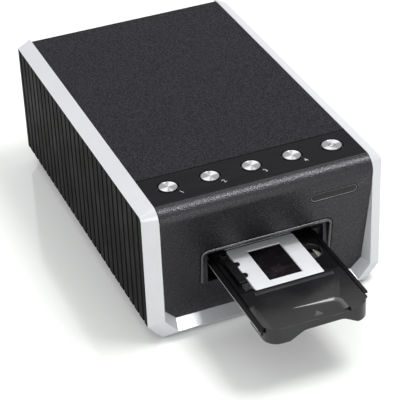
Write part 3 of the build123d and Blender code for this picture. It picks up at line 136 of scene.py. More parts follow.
# printed marks: numbers shifted from the keys' centres, and the power mark on the last key
MARK_LIFT = 0.00003
NUMBER_SHIFT = Vector((0.0062, -0.0096, 0))
NUMBER_TURN = math.radians(27)
POWER_RADII = (0.0020, 0.0026)
POWER_ARC = (math.radians(125), math.radians(415))
POWER_ARC_POINTS = 40
POWER_BAR_HALF = 0.0003
POWER_BAR_REACH = (0.0006, 0.0032)

# ticks, bowl and arrow on the grip, from the grip's box and the scoop
TICK_COUNT = 40
TICK_SIZE = (0.00034, 0.0012, 0.0006)
TICK_ROW = (-0.027, 0.029)
TICK_BACK = 0.0036
TICK_SINK = 0.00002
BOWL_WIDTH = 2.2 * SCOOP_DEPTH
BOWL_OVERLAP = 0.0005
BOWL_SINK = 0.00004
BOWL_FRONT = 0.003
BOWL_STEPS = 8
ARROW_CORNERS = ((-0.0024, 0.0038), (0.0042, 0.0038), (0.0009, 0.0088))
ARROW_TOP_SHARE = 0.72
ARROW_HEIGHTS = (-0.00005, 0.0009)

# studio: the dome's brightness low and high, and each lamp's name, place, target, size and watts
FLOOR_REACH = 6.0
SENSOR_WIDTH = 36
DOME_RISE = (0.1, 0.9)
DOME_LIGHT = (0.58, 0.86)
LAMPS = (
    ("Key lamp", (0.50, -0.25, 1.35), (0, -0.09, 0.1), 0.50, 14),
    ("Front lamp", (0.0, -1.9, 0.45), (0, -0.1, 0.05), 0.9, 8),
    ("Left lamp", (-1.3, -1.3, 0.8), (0, 0, 0.05), 0.8, 5),
    ("Top lamp", (-0.35, 0.40, 1.4), (0, -0.05, 0.1), 1.3, 3),
)

# points of one mesh this near to each other are merged
SEAM = 0.000001
NODE_SEAM = 0.000004


# ---------------------------------------------------------------- sizes and colours
def colour(name, description, default):
    """A colour setting, linear red, green and blue."""
    return FloatVectorProperty(
        name=name, description=description, subtype="COLOR", size=3, min=0, max=1, default=default
    )


def length(name, description, default):
    """A length setting in metres."""
    return FloatProperty(
        name=name, description=description, default=default, min=0, unit="LENGTH", precision=5
    )


class ScannerShell(bpy.types.PropertyGroup):
    """Colours and edge sizes of the housing."""

    silver: colour("Trim silver", "Painted trim frame", (0.595, 0.60, 0.62))
    cover: colour("Cover", "Grained top cover", (0.017, 0.0162, 0.0195))
    panel: colour("Front panel", "Grained front panel", (0.008, 0.0076, 0.0095))
    sides: colour("Sides", "Ribbed side panels", (0.0055, 0.0055, 0.0052))
    strip: colour("Strip", "Gloss control strip", (0.004, 0.004, 0.005))
    grain: length("Grain", "Size of the leather-like grain", 0.0012)
    trim_edge: length("Trim edge", "Rounding of the trim's ridges", 0.0005)
    shell_edge: length("Shell edge", "Rounding of the other shells", 0.0003)


class ScannerKeys(bpy.types.PropertyGroup):
    """Sizes and colours of the keys."""

    metal: colour("Key metal", "Spun metal of the caps", (0.40, 0.40, 0.41))
    print_grey: colour("Print", "Small printed marks beside the keys", (0.40, 0.40, 0.41))
    # turn of the painted highlight wedges on the key caps
    wedge: FloatProperty(
        name="Wedge turn", description="Turn of the bright wedges, doubled", default=-1.3,
    )
    dish: length("Dish", "Depth of the cap's hollow", 0.00025)
    print_size: length("Print height", "Height of the printed numbers", 0.0052)


class ScannerTray(bpy.types.PropertyGroup):
    """Colours and edge sizes of the tray, holder and slides."""

    plastic: colour("Tray plastic", "Tray rails and slide holder", (0.010, 0.010, 0.011))
    mount: colour("Mount", "Slide mounts", (0.63, 0.64, 0.655))
    film: colour("Film", "Developed film", (0.006, 0.005, 0.006))
    edge: length("Edge", "Rounding of the tray's edges", 0.0004)
    mount_edge: length("Mount edge", "Rounding of the slide mounts", 0.0004)


class ScannerStudio(bpy.types.PropertyGroup):
    """Floor and camera."""

    floor: colour("Floor", "Pale floor", (0.76, 0.77, 0.75))
    lift: FloatProperty(
        name="Floor lift", description="White that the camera sees over the floor", default=0.13, min=0,
    )
    place: FloatVectorProperty(
        name="Camera place", description="Where the camera stands", size=3, unit="LENGTH",
        default=(-0.36688, -0.90363, 0.67525),
    )
    turn: FloatVectorProperty(
        name="Camera turn", description="Camera rotation", size=3, subtype="EULER",
        default=(math.radians(56.836), math.radians(2.039), math.radians(-22.855)),
    )
    lens: FloatProperty(name="Lens", description="Focal length in mm", default=144.63, min=1)


# ---------------------------------------------------------------- finishes
class Nodes:
    """A node tree with short calls for its nodes."""

    def __init__(self, tree):
        self.tree = tree

    def node(self, kind, inputs=None, **fields):
        """Adds a node, sets its fields, then its inputs to numbers or links."""
        made = self.tree.nodes.new(kind)
        for field, value in fields.items():
            setattr(made, field, value)
        for socket, value in (inputs or {}).items():
            if isinstance(value, bpy.types.NodeSocket):
                self.tree.links.new(value, made.inputs[socket])
            else:
                made.inputs[socket].default_value = value
        return made

    def ramp(self, value, low, high, to_low=0.0, to_high=1.0):
        """Value run smoothly from low..high to to_low..to_high and held there."""
        inputs = {"Value": value, "From Min": low, "From Max": high, "To Min": to_low, "To Max": to_high}
        return self.node("ShaderNodeMapRange", inputs, interpolation_type="SMOOTHSTEP").outputs[0]

    def math(self, operation, first, second=0.0, third=0.0):
        """A Math node's result."""
        inputs = {0: first, 1: second, 2: third}
        return self.node("ShaderNodeMath", inputs, operation=operation).outputs[0]


class Finish(Nodes):
    """A material's nodes, ending in its shader."""

    def __init__(self, name):
        self.material = bpy.data.materials.new(name)
        self.material.use_nodes = True
        super().__init__(self.material.node_tree)
        self.shader = self.tree.nodes["Principled BSDF"]
        self.place = self.node("ShaderNodeTexCoord").outputs["Object"]

    def set(self, **values):
        """Sets the shader's sockets; underscores stand for blanks."""
        for socket, value in values.items():
            name = socket.replace("_", " ")
            if isinstance(value, bpy.types.NodeSocket):
                self.tree.links.new(value, self.shader.inputs[name])
            else:
                self.shader.inputs[name].default_value = value

    def noise(self, size, detail=2.0, roughness=0.5, stretch=None):
        """Noise whose features are about size metres across."""
        at = self.place
        if stretch:
            at = self.node("ShaderNodeMapping", {"Vector": at, "Scale": stretch}).outputs[0]
        inputs = {"Vector": at, "Scale": 1 / size, "Detail": detail, "Roughness": roughness}
        return self.node("ShaderNodeTexNoise", inputs).outputs["Fac"]

    def mix(self, share, first, second):
        """Colour between first and second."""
        made = self.node("ShaderNodeMix", data_type="RGBA")
        for slot, value in ((0, share), (6, first), (7, second)):
            if isinstance(value, bpy.types.NodeSocket):
                self.tree.links.new(value, made.inputs[slot])
            elif slot:
                made.inputs[slot].default_value = (*value[:3], 1)
            else:
                made.inputs[slot].default_value = value
        return made.outputs[2]

    def bump(self, height, depth, strength=1.0):
        """Normals from a height of 0..1 that is depth metres tall."""
        inputs = {"Height": height, "Distance": depth, "Strength": strength}
        return self.node("ShaderNodeBump", inputs).outputs[0]

    def surface_map(self):
        """The two places on the piece's own UV map."""
        spot = self.node("ShaderNodeUVMap", uv_map="Surface").outputs[0]
        return self.node("ShaderNodeSeparateXYZ", {0: spot}).outputs[:2]


def tinted(base, share):
    """A colour with its brightness times share."""
    return tuple(min(1.0, part * share) for part in base[:3])


def painted(name, base, metal=0.35, rough=0.34):
    """Metallic paint: fine flakes in colour and gloss over a faint orange peel."""
    f = Finish(name)
    flake = f.noise(0.00035, 1.0)
    cloud = f.noise(0.03, 3.0)
    lift = f.ramp(f.math("ADD", flake, f.math("MULTIPLY", cloud, 0.5)), 0.45, 1.05)
    f.set(
        Base_Color=f.mix(lift, tinted(base, 0.93), tinted(base, 1.05)),
        Metallic=metal,
        Roughness=f.ramp(flake, 0.3, 0.7, rough - 0.05, rough + 0.07),
        Normal=f.bump(f.noise(0.0012, 2.0), 0.00002, 0.5),
    )
    return f.material


def grained(name, base, size, depth=0.00012, rough=0.50, speck=1.6, shine=0.3):
    """Moulded leather grain: round pebbles between creases, glossier crowns, some with a glint. Its
    colour carries painted shade in the creases and painted highlights on the crowns and glints.
    """
    f = Finish(name)
    warp = f.noise(size * 2.2, 2.0)
    shift = f.node("ShaderNodeVectorMath", {0: warp, 1: (size,) * 3}, operation="MULTIPLY").outputs[0]
    moved = f.node("ShaderNodeVectorMath", {0: f.place, 1: shift}, operation="ADD").outputs[0]
    cells = f.node(
        "ShaderNodeTexVoronoi", {"Vector": moved, "Scale": 1 / size, "Smoothness": 0.6},
        feature="SMOOTH_F1",
    ).outputs["Distance"]
    pebble = f.ramp(cells, 0.15, 0.75, 1.0, 0.0)
    fine = f.noise(size * 0.35, 2.0, 0.6)
    height = f.math("ADD", pebble, f.math("MULTIPLY", fine, 0.45))
    crown = f.ramp(height, 0.5, 1.35)
    glint = f.ramp(f.noise(size * 0.9, 1.0), 0.56, 0.70)
    # painted shade and highlight: creases darker, crowns lighter by speck, glints lighter still
    top = f.mix(glint, tinted(base, speck), tinted(base, 2 * speck))
    matt = f.ramp(crown, 0.0, 1.0, rough + 0.12, rough - 0.06)
    f.set(
        Base_Color=f.mix(crown, tinted(base, 0.55), top),
        Roughness=f.math("SUBTRACT", matt, f.math("MULTIPLY", glint, 0.10)),
        Specular_IOR_Level=shine,
        Specular_Tint=(0.97, 0.94, 1.0, 1.0),
        Normal=f.bump(height, depth, 0.8),
    )
    return f.material


def moulded(name, base, rough=0.42, size=0.0004, depth=0.00002, mottle=0.12, shine=0.4):
    """Plain moulded plastic: spark-eroded texture, faint mottling and handling marks."""
    f = Finish(name)
    fine = f.noise(size, 3.0, 0.6)
    cloud = f.noise(0.02, 4.0)
    f.set(
        Base_Color=f.mix(f.ramp(cloud, 0.3, 0.7), tinted(base, 1 - mottle), tinted(base, 1 + mottle)),
        Roughness=f.ramp(cloud, 0.3, 0.7, rough - 0.05, rough + 0.06),
        Specular_IOR_Level=shine,
        Normal=f.bump(fine, depth, 0.6),
    )
    return f.material


def glossy(name, base, rough=0.06, shine=0.2):
    """Polished plastic with faint wiping marks."""
    f = Finish(name)
    wipe = f.noise(0.01, 4.0, 0.6, stretch=(0.3, 1.6, 1.0))
    f.set(
        Base_Color=f.mix(f.ramp(wipe, 0.4, 0.7), base, tinted(base, 1.5)),
        Roughness=f.ramp(wipe, 0.35, 0.75, rough, rough + 0.06),
        Specular_IOR_Level=shine,
    )
    return f.material


def bare_metal(name, base, rough=0.3, stretch=(1.0, 30.0, 30.0), size=0.004):
    """Drawn or brushed metal: long fine scratches across one axis."""
    f = Finish(name)
    lines = f.noise(size, 3.0, 0.7, stretch=stretch)
    f.set(
        Base_Color=f.mix(f.ramp(lines, 0.3, 0.7), tinted(base, 0.85), tinted(base, 1.1)),
        Metallic=1.0,
        Roughness=f.ramp(lines, 0.3, 0.7, rough - 0.07, rough + 0.1),
        Normal=f.bump(lines, 0.00001, 0.5),
    )
    return f.material


def spun_metal(number, centre, keys):
    """Turned key cap: fine rings, two painted highlight wedges and a black rim, by its own UV map."""
    f = Finish(f"Spun metal {number}")
    local = f.node(
        "ShaderNodeMapping", {"Vector": f.place, "Location": (-centre.x, -centre.y, 0)}
    ).outputs[0]
    rings = f.node(
        "ShaderNodeTexWave", {"Vector": local, "Scale": 900.0, "Distortion": 0.4, "Detail": 2.0},
        wave_type="RINGS", rings_direction="Z",
    ).outputs["Fac"]
    angle, out = f.surface_map()
    # painted highlight: two bright wedges across the cap, fixed to its own angle
    wedge = f.math("COSINE", f.math("MULTIPLY_ADD", angle, 4 * math.pi, keys.wedge))
    lit = f.mix(f.ramp(wedge, 0.1, 1.0), keys.metal, tinted(keys.metal, 2.3))
    turned = f.mix(rings, f.mix(0.9, (0, 0, 0), lit), lit)
    rim = f.ramp(out, *CAP_RIM)
    f.set(
        Base_Color=f.mix(rim, turned, (0.008, 0.008, 0.009)),
        Metallic=f.math("SUBTRACT", 1.0, rim),
        Roughness=0.34,
        Specular_IOR_Level=0.2,
        Anisotropic=0.9,
        Anisotropic_Rotation=0.25,
        Tangent=f.node("ShaderNodeTangent", direction_type="UV_MAP", uv_map="Surface").outputs[0],
        Normal=f.bump(rings, 0.000004, 0.3),
    )
    return f.material


def worn_scoop(base):
    """Satin plastic with a painted highlight: paler towards the scoop's right and upper edge, by its own
    UV map.
    """
    f = Finish("Scoop satin")
    right, down = f.surface_map()
    # painted highlight along the scoop's right and upper edge
    painted_highlight = f.math("MULTIPLY", f.ramp(right, 0.55, 1.0), f.ramp(down, 0.0, 0.9, 1.0, 0.0))
    f.set(
        Base_Color=f.mix(painted_highlight, tinted(base, 1.1), tinted(base, 8)),
        Roughness=0.24,
        Specular_IOR_Level=0.5,
        Normal=f.bump(f.noise(0.0005, 3.0, 0.6), 0.00002, 0.6),
    )
    return f.material


def developed_film(base):
    """Dark developed film: deep blotches and faint warm and violet specks, no picture."""
    f = Finish("Developed film")
    blotch = f.ramp(f.noise(0.009, 3.0), 0.4, 0.7)
    speck = f.ramp(f.noise(0.0009, 3.0, 0.7), 0.60, 0.74)
    hue = f.mix(f.ramp(f.noise(0.003, 1.0), 0.4, 0.6), (0.20, 0.06, 0.10), (0.10, 0.08, 0.18))
    shade = f.mix(blotch, base, tinted(base, 2.2))
    spots = f.math("MULTIPLY", speck, f.math("MULTIPLY", blotch, 0.8))
    f.set(
        Base_Color=f.mix(spots, shade, hue),
        Roughness=f.ramp(blotch, 0.0, 1.0, 0.12, 0.2),
        Specular_IOR_Level=0.25,
    )
    return f.material


def board_green(name, base):
    """Solder mask with faint tracks and pads."""
    f = Finish(name)
    grid = f.node(
        "ShaderNodeTexBrick",
        {"Vector": f.place, "Scale": 180.0, "Mortar Size": 0.03, "Color1": (*base, 1),
         "Color2": (*tinted(base, 1.3), 1), "Mortar": (*tinted(base, 1.9), 1)},
    )
    f.set(
        Base_Color=grid.outputs[0],
        Roughness=0.35,
        Coat_Weight=0.3,
        Normal=f.bump(grid.outputs[1], 0.00003, 0.4),
    )
    return f.material


def clear_glass(name, base):
    """Coated optical glass with a faint tint over its depth."""
    f = Finish(name)
    tint = f.ramp(f.noise(0.01, 1.0), 0.3, 0.7)
    f.set(
        Base_Color=f.mix(tint, base, tinted(base, 1.1)),
        Roughness=0.02,
        IOR=1.52,
        Transmission_Weight=1.0,
        Coat_Weight=0.4,
    )
    return f.material


# ---------------------------------------------------------------- making pieces
def dress(piece, material, smooth_angle=None):
    """One material over a piece; smooth_angle in degrees shades it smooth up to there."""
    piece.data.materials.clear()
    piece.data.materials.append(material)
    if smooth_angle is not None:
        piece.data.shade_smooth()
        piece.data.set_sharp_from_angle(angle=math.radians(smooth_angle))


def from_arrays(name, points, faces, body, material, uv=None, smooth=35):
    """A mesh piece from corner points and faces, its seams merged, riding on a body."""
    mesh = bpy.data.meshes.new(name)
    places = np.asarray(points, float).reshape(-1, 3).tolist()
    mesh.from_pydata(places, [], [list(face) for face in faces])
    if uv is not None:
        layer = mesh.uv_layers.new(name="Surface")
        corner = np.empty(len(mesh.loops), np.int32)
        mesh.loops.foreach_get("vertex_index", corner)
        layer.data.foreach_set("uv", np.asarray(uv, np.float32).reshape(-1, 2)[corner].ravel())
    work = bmesh.new()
    work.from_mesh(mesh)
    bmesh.ops.remove_doubles(work, verts=work.verts, dist=SEAM)
    work.to_mesh(mesh)
    work.free()
    mesh.validate()
    piece = bpy.data.objects.new(name, mesh)
    bpy.context.scene.collection.objects.link(piece)
    dress(piece, material, smooth)
    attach(piece, body)
    return piece


def grid_faces(rows, columns, wrap=False):
    """Quads of a rows by columns grid; wrap joins the last column to the first."""
    across = np.arange(columns if wrap else columns - 1)
    r, c = np.meshgrid(np.arange(rows - 1), across, indexing="ij")
    after = (c + 1) % columns
    here, below = r * columns, (r + 1) * columns
    quads = np.stack([here + c, here + after, below + after, below + c], -1)
    return quads.reshape(-1, 4)


def rounded_node(node, width, material, segments=2, angle=28):
    """Stands for a CAD node: a merged copy whose edges sharper than angle are rounded by width."""
    source = frame["nodes"][node]
    mesh = source.data.copy()
    work = bmesh.new()
    work.from_mesh(mesh)
    bmesh.ops.remove_doubles(work, verts=work.verts, dist=NODE_SEAM)
    bmesh.ops.dissolve_limit(
        work, angle_limit=math.radians(0.4), verts=work.verts, edges=work.edges, delimit={"NORMAL"}
    )
    work.to_mesh(mesh)
    work.free()
    piece = bpy.data.objects.new(f"{node}_finished", mesh)
    bpy.context.scene.collection.objects.link(piece)
    dress(piece, material, angle)
    bevel = piece.modifiers.new("Edges", "BEVEL")
    bevel.width = width
    bevel.segments = segments
    bevel.limit_method = "ANGLE"
    bevel.angle_limit = math.radians(angle)
    bevel.use_clamp_overlap = True
    bevel.harden_normals = True
    bevel.miter_outer = "MITER_ARC"
    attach(piece, source["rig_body"])
    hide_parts(node)
    return piece


def bead(name, path, out, half, height, body, slot, material, closed=False, sides=10):
    """Rounded bead carried along a path.

    Round each path point stands an ellipse, half wide across the path in its
    face and height tall along out, the face's outward direction.
    """
    path = np.asarray(path, float)
    if closed:
        along = np.roll(path, -1, 0) - np.roll(path, 1, 0)
    else:
        along = np.gradient(path, axis=0)
    along /= np.linalg.norm(along, axis=1, keepdims=True)
    out = np.asarray(out, float)
    across = np.cross(along, out)
    angle = np.linspace(0, 2 * np.pi, sides, endpoint=False)
    points = (
        path[:, None] + half * np.cos(angle)[None, :, None] * across[:, None]
        + height * np.sin(angle)[None, :, None] * out
    )
    if closed:
        points = np.concatenate([points, points[:1]])
    faces = grid_faces(len(points), sides, wrap=True)[:, ::-1].tolist()
    if not closed:
        last = (len(points) - 1) * sides
        faces += [list(range(sides)), list(range(last + sides - 1, last - 1, -1))]
    return from_arrays(name, points, faces, body, material, smooth=50)


def straight(start, end, count=9):
    """Points evenly spaced from start to end."""
    return np.linspace(start, end, count)


def stadium(length, width, count=48):
    """Outline of a bar with round ends: x runs along it, y across, as an array."""
    angle = np.linspace(0, 2 * np.pi, count, endpoint=False)
    end = np.where(np.cos(angle) >= 0, 1, -1) * (length - width) / 2
    return np.stack([end + width / 2 * np.cos(angle), width / 2 * np.sin(angle)], -1)


def on_panel(x, z, lift=0.0):
    """Points on the leaning front face at widths x and heights z, lifted off it."""
    x, z = np.broadcast_arrays(np.asarray(x, float), np.asarray(z, float))
    y = FRONT_RIDGE + PANEL_SET - z * math.tan(PANEL_LEAN)
    return np.stack([x, y, z], -1) + lift * np.asarray(PANEL_OUT)


def surround_path(grow):
    """Outline up one side of the slot's surround, across it and down, grown by grow."""
    turn = np.linspace(0, np.pi / 2, 9)
    half = SURROUND_HALF + grow
    top = SURROUND_TOP + grow
    r = SURROUND_R + grow
    right_x = np.concatenate([half - r + r * np.sin(turn), [half] * 6])
    right_z = np.concatenate([top - r + r * np.cos(turn), np.linspace(top - r, SURROUND_LOW, 7)[1:]])
    x = np.concatenate([-right_x[::-1], right_x])
    z = np.concatenate([right_z[::-1], right_z])
    return x, z


def flat_text(name, words, size, place, turn, body, material):
    """Printed characters as a flat mesh, turned about up and laid at a place."""
    curve = bpy.data.curves.new(name, "FONT")
    curve.body = words
    curve.size = size
    curve.align_x = "CENTER"
    curve.align_y = "CENTER"
    curve.resolution_u = 4
    source = bpy.data.objects.new(f"{name}_curve", curve)
    bpy.context.scene.collection.objects.link(source)
    bpy.context.view_layer.update()
    mesh = bpy.data.meshes.new_from_object(source)
    bpy.data.objects.remove(source)
    mesh.transform(Matrix.Translation(place) @ Matrix.Rotation(turn, 4, "Z"))
    piece = bpy.data.objects.new(name, mesh)
    bpy.context.scene.collection.objects.link(piece)
    dress(piece, material)
    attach(piece, body)
    return piece


def settings(group):
    """The scene's settings of one group."""
    return getattr(bpy.context.scene, group)


# ---------------------------------------------------------------- housing
class SCANNER_OT_trim(bpy.types.Operator):
    """Silver trim frame with softened ridges"""

    bl_idname = "scanner.trim"
    bl_label = "Trim"

    def execute(self, context):
        shell = settings("scanner_shell")
        rounded_node("silver_trim", shell.trim_edge, painted("Silver paint", shell.silver), segments=3)
        return {"FINISHED"}


class SCANNER_OT_shells(bpy.types.Operator):
    """Front panel, top cover, control strip, ribbed sides, base and rear panel"""

    bl_idname = "scanner.shells"
    bl_label = "Shells"

    def execute(self, context):
        shell = settings("scanner_shell")
        cover = grained("Cover grain", shell.cover, shell.grain * 0.8, shine=0.07)
        rounded_node("top_cover", shell.shell_edge, cover)
        panel = grained("Panel grain", shell.panel, shell.grain, depth=0.00011, rough=0.26, shine=0.44)
        rounded_node("front_panel", shell.shell_edge, panel)
        gloss = glossy("Strip gloss", shell.strip, rough=0.12, shine=0.06)
        rounded_node("control_strip", shell.shell_edge / 2, gloss)
        ribs = moulded("Rib satin", shell.sides, rough=0.5, size=0.0005, depth=0.00003, shine=0.04)
        for side in ("left", "right"):
            rounded_node(f"{side}_side_panel", shell.shell_edge, ribs)
        belly = moulded("Belly plastic", tinted(shell.sides, 1.3), rough=0.5, size=0.0007, depth=0.00005)
        rounded_node("base_pan", shell.shell_edge, belly)
        dress(frame["nodes"]["rear_panel"], belly, smooth_angle=28)
        # dark joint along the strip's back edge: a flat bead laid in it
        low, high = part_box("control_strip")
        y = high.y + STRIP_JOINT_BACK
        path = straight((low.x, y, high.z), (high.x, y, high.z))
        joint = moulded("Strip joint", (0.002, 0.002, 0.002), rough=0.8, shine=0.02)
        bead("strip_joint", path, UP, *STRIP_JOINT, "housing", "piano_black", joint)
        return {"FINISHED"}


class SCANNER_OT_surround(bpy.types.Operator):
    """Rounded lip and joint line round the slot's surround, and the bare badge plate"""

    bl_idname = "scanner.surround"
    bl_label = "Surround and badge"

    def execute(self, context):
        shell = settings("scanner_shell")
        # the lip's satin is the panel made lighter: a painted highlight along its rounded edge
        lip = moulded("Lip satin", tinted(shell.panel, 2.2), rough=0.22, depth=0.00001, shine=1.0)
        gap = moulded("Joint shade", (0.003, 0.003, 0.003), rough=0.8, shine=0.05)
        x, z = surround_path(-LIP_INSET)
        path = on_panel(x, z, -LIP_SINK)
        bead("surround_lip", path, PANEL_OUT, *LIP, "housing", "grain_black", lip, sides=12)
        x, z = surround_path(SURROUND_JOINT_OUT)
        bead("surround_joint", on_panel(x, z), PANEL_OUT, *SURROUND_JOINT, "housing", "grain_black", gap)
        self.plate(shell)
        rim = self.on_badge(stadium(BADGE_LENGTH, BADGE_WIDTH))
        bead("badge_joint", rim, PANEL_OUT, *BADGE_JOINT, "housing", "grain_black", gap, closed=True)
        ring = stadium(BADGE_LENGTH - 2 * BADGE_EDGE_INSET, BADGE_WIDTH - 2 * BADGE_EDGE_INSET)
        path = self.on_badge(ring, -BADGE_EDGE_SINK)
        pale = moulded("Badge edge", (0.20, 0.20, 0.205), rough=0.3)
        bead("badge_edge", path, PANEL_OUT, *BADGE_EDGE, "housing", "grain_black", pale, closed=True)
        return {"FINISHED"}

    def on_badge(self, flat, lift=0.0):
        """Points of the badge's own plane, across and up it, on the leaning panel."""
        x, z = BADGE
        return on_panel(x + flat[..., 0], z + flat[..., 1] * math.cos(PANEL_LEAN), lift)

    def plate(self, shell):
        """Bare plate: the stadium outline shrunk in steps towards its middle line, crowned a little."""
        outline = stadium(BADGE_LENGTH, BADGE_WIDTH)
        middle = outline * (0, 0)
        middle[:, 0] = np.sign(outline[:, 0]) * (BADGE_LENGTH - BADGE_WIDTH) / 2
        share = np.array(PLATE_SHARES)[:, None, None]
        sink = np.array(PLATE_SINKS)[:, None, None] * MM
        points = self.on_badge(middle + (outline - middle) * share) - sink * np.asarray(PANEL_OUT)
        faces = grid_faces(len(PLATE_SHARES), len(outline), wrap=True)[:, ::-1]
        satin = moulded("Badge plate", tinted(shell.panel, 0.9), rough=0.35, shine=0.3)
        from_arrays("badge_plate", points, faces, "housing", satin)


# ---------------------------------------------------------------- keys
class SCANNER_OT_keys(bpy.types.Operator):
    """Five spun metal key caps on black stems"""

    bl_idname = "scanner.keys"
    bl_label = "Keys"

    def execute(self, context):
        keys = settings("scanner_keys")
        for number in range(1, KEY_COUNT + 1):
            self.cap(number, keys)
        stem = moulded("Key stem", (0.008, 0.008, 0.009), rough=0.3)
        for number in range(1, KEY_COUNT + 1):
            dress(frame["nodes"][f"key_stem_{number}"], stem, smooth_angle=35)
        return {"FINISHED"}

    def cap(self, number, keys):
        """Dished cap: profile radius r and height z turned about the key's axis."""
        low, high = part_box(f"key_cap_{number}")
        centre = (low + high) / 2
        radius = (high.x - low.x) / 2
        turn = np.linspace(0, 2 * np.pi, CAP_SIDES + 1)
        r = np.array(CAP_RADII) * radius
        drop = np.array(CAP_DROPS) * keys.dish
        x = centre.x + r[:, None] * np.cos(turn)
        y = centre.y + r[:, None] * np.sin(turn)
        z = np.broadcast_to(high.z - drop[:, None], x.shape)
        uv = np.stack(np.broadcast_arrays(turn[None, :] / (2 * np.pi), r[:, None] / radius), -1)
        faces = grid_faces(len(r), len(turn))[:, ::-1]
        metal = spun_metal(number, centre, keys)
        cap = from_arrays(
            f"key_face_{number}", np.stack([x, y, z], -1), faces, f"key_{number}", metal,
            uv=uv, smooth=40,
        )
        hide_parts(f"key_cap_{number}")


class SCANNER_OT_marks(bpy.types.Operator):
    """Plain numbers beside four keys and a power mark on the fifth"""

    bl_idname = "scanner.marks"
    bl_label = "Key marks"

    def execute(self, context):
        keys = settings("scanner_keys")
        ink = moulded("Print ink", keys.print_grey, rough=0.5, size=0.0002, depth=0.000002, mottle=0.05)
        strip_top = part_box("control_strip")[1].z
        for number in range(1, KEY_COUNT):
            low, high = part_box(f"key_cap_{number}")
            middle = Vector(((low.x + high.x) / 2, (low.y + high.y) / 2, strip_top + MARK_LIFT))
            flat_text(f"key_number_{number}", str(number), keys.print_size, middle + NUMBER_SHIFT,
                      NUMBER_TURN, "housing", ink)
        self.power_mark(keys)
        return {"FINISHED"}

    def power_mark(self, keys):
        """Ring with a gap and a bar through it, both flat bands a hair above the last cap."""
        dark = tinted(keys.print_grey, 0.3)
        etched = moulded("Etched mark", dark, rough=0.5, size=0.0002, depth=0.000002, mottle=0.05)
        low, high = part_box(f"key_cap_{KEY_COUNT}")
        centre = (low + high) / 2
        height = high.z + MARK_LIFT - CAP_DROPS[0] * keys.dish
        angle = np.linspace(*POWER_ARC, POWER_ARC_POINTS)
        radii = np.array(POWER_RADII)
        x = centre.x + radii[:, None] * np.cos(angle)
        y = centre.y + radii[:, None] * np.sin(angle)
        ring = np.stack([x, y, np.full_like(x, height)], -1)
        faces = grid_faces(2, POWER_ARC_POINTS)[:, ::-1]
        from_arrays("power_ring", ring, faces, f"key_{KEY_COUNT}", etched)
        bar_x = centre.x + np.array([-POWER_BAR_HALF, POWER_BAR_HALF])
        bar_y = centre.y + np.array(POWER_BAR_REACH)
        bar = np.stack(np.meshgrid(bar_x, bar_y, [height], indexing="ij"), -1)
        from_arrays("power_bar", bar, [(0, 2, 3, 1)], f"key_{KEY_COUNT}", etched)


# ---------------------------------------------------------------- tray and slides
class SCANNER_OT_tray(bpy.types.Operator):
    """Tray rails, slide holder and its grip"""

    bl_idname = "scanner.tray"
    bl_label = "Tray"

    def execute(self, context):
        tray = settings("scanner_tray")
        rail = moulded("Rail satin", tinted(tray.plastic, 0.5), rough=0.24, depth=0.00001, shine=0.12)
        holder = moulded("Holder satin", tinted(tray.plastic, 0.5), rough=0.30, size=0.0005, shine=0.12)
        grip = moulded("Grip satin", tinted(tray.plastic, 0.8), rough=0.22, size=0.0005, shine=0.45)
        for node in ("left_rail", "right_rail", "cross_bar"):
            rounded_node(node, tray.edge, rail)
        rounded_node("holder_frame", tray.edge / 2, holder)
        rounded_node("holder_grip", tray.edge * 1.5, grip, segments=3)
        rounded_node("hold_down_clips", tray.edge / 2, grip)
        # painted highlight lines: beads tangent inside the left rail's two lower outer corners, lighter
        # than the rail
        low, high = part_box("left_rail")
        line = moulded("Rail line", (0.35, 0.35, 0.36), rough=0.2, depth=0.00001, shine=0.8)
        near, far = low.y + RAIL_LINE_END, high.y - RAIL_LINE_END
        corners = ((low.x, high.z - FLANGE_FOOT), (low.x + FLANGE_WIDTH, low.z))
        for number, (edge_x, edge_z) in enumerate(corners, 1):
            x, z = edge_x + RAIL_LINE_INSET, edge_z + RAIL_LINE_INSET
            path = straight((x, near, z), (x, far, z))
            bead(f"rail_line_{number}", path, UP, *RAIL_LINE, "tray", "holder_black", line)
        steel = bare_metal("Spring steel", (0.85, 0.85, 0.86), rough=0.2)
        dress(frame["nodes"]["mount_springs"], steel)
        return {"FINISHED"}


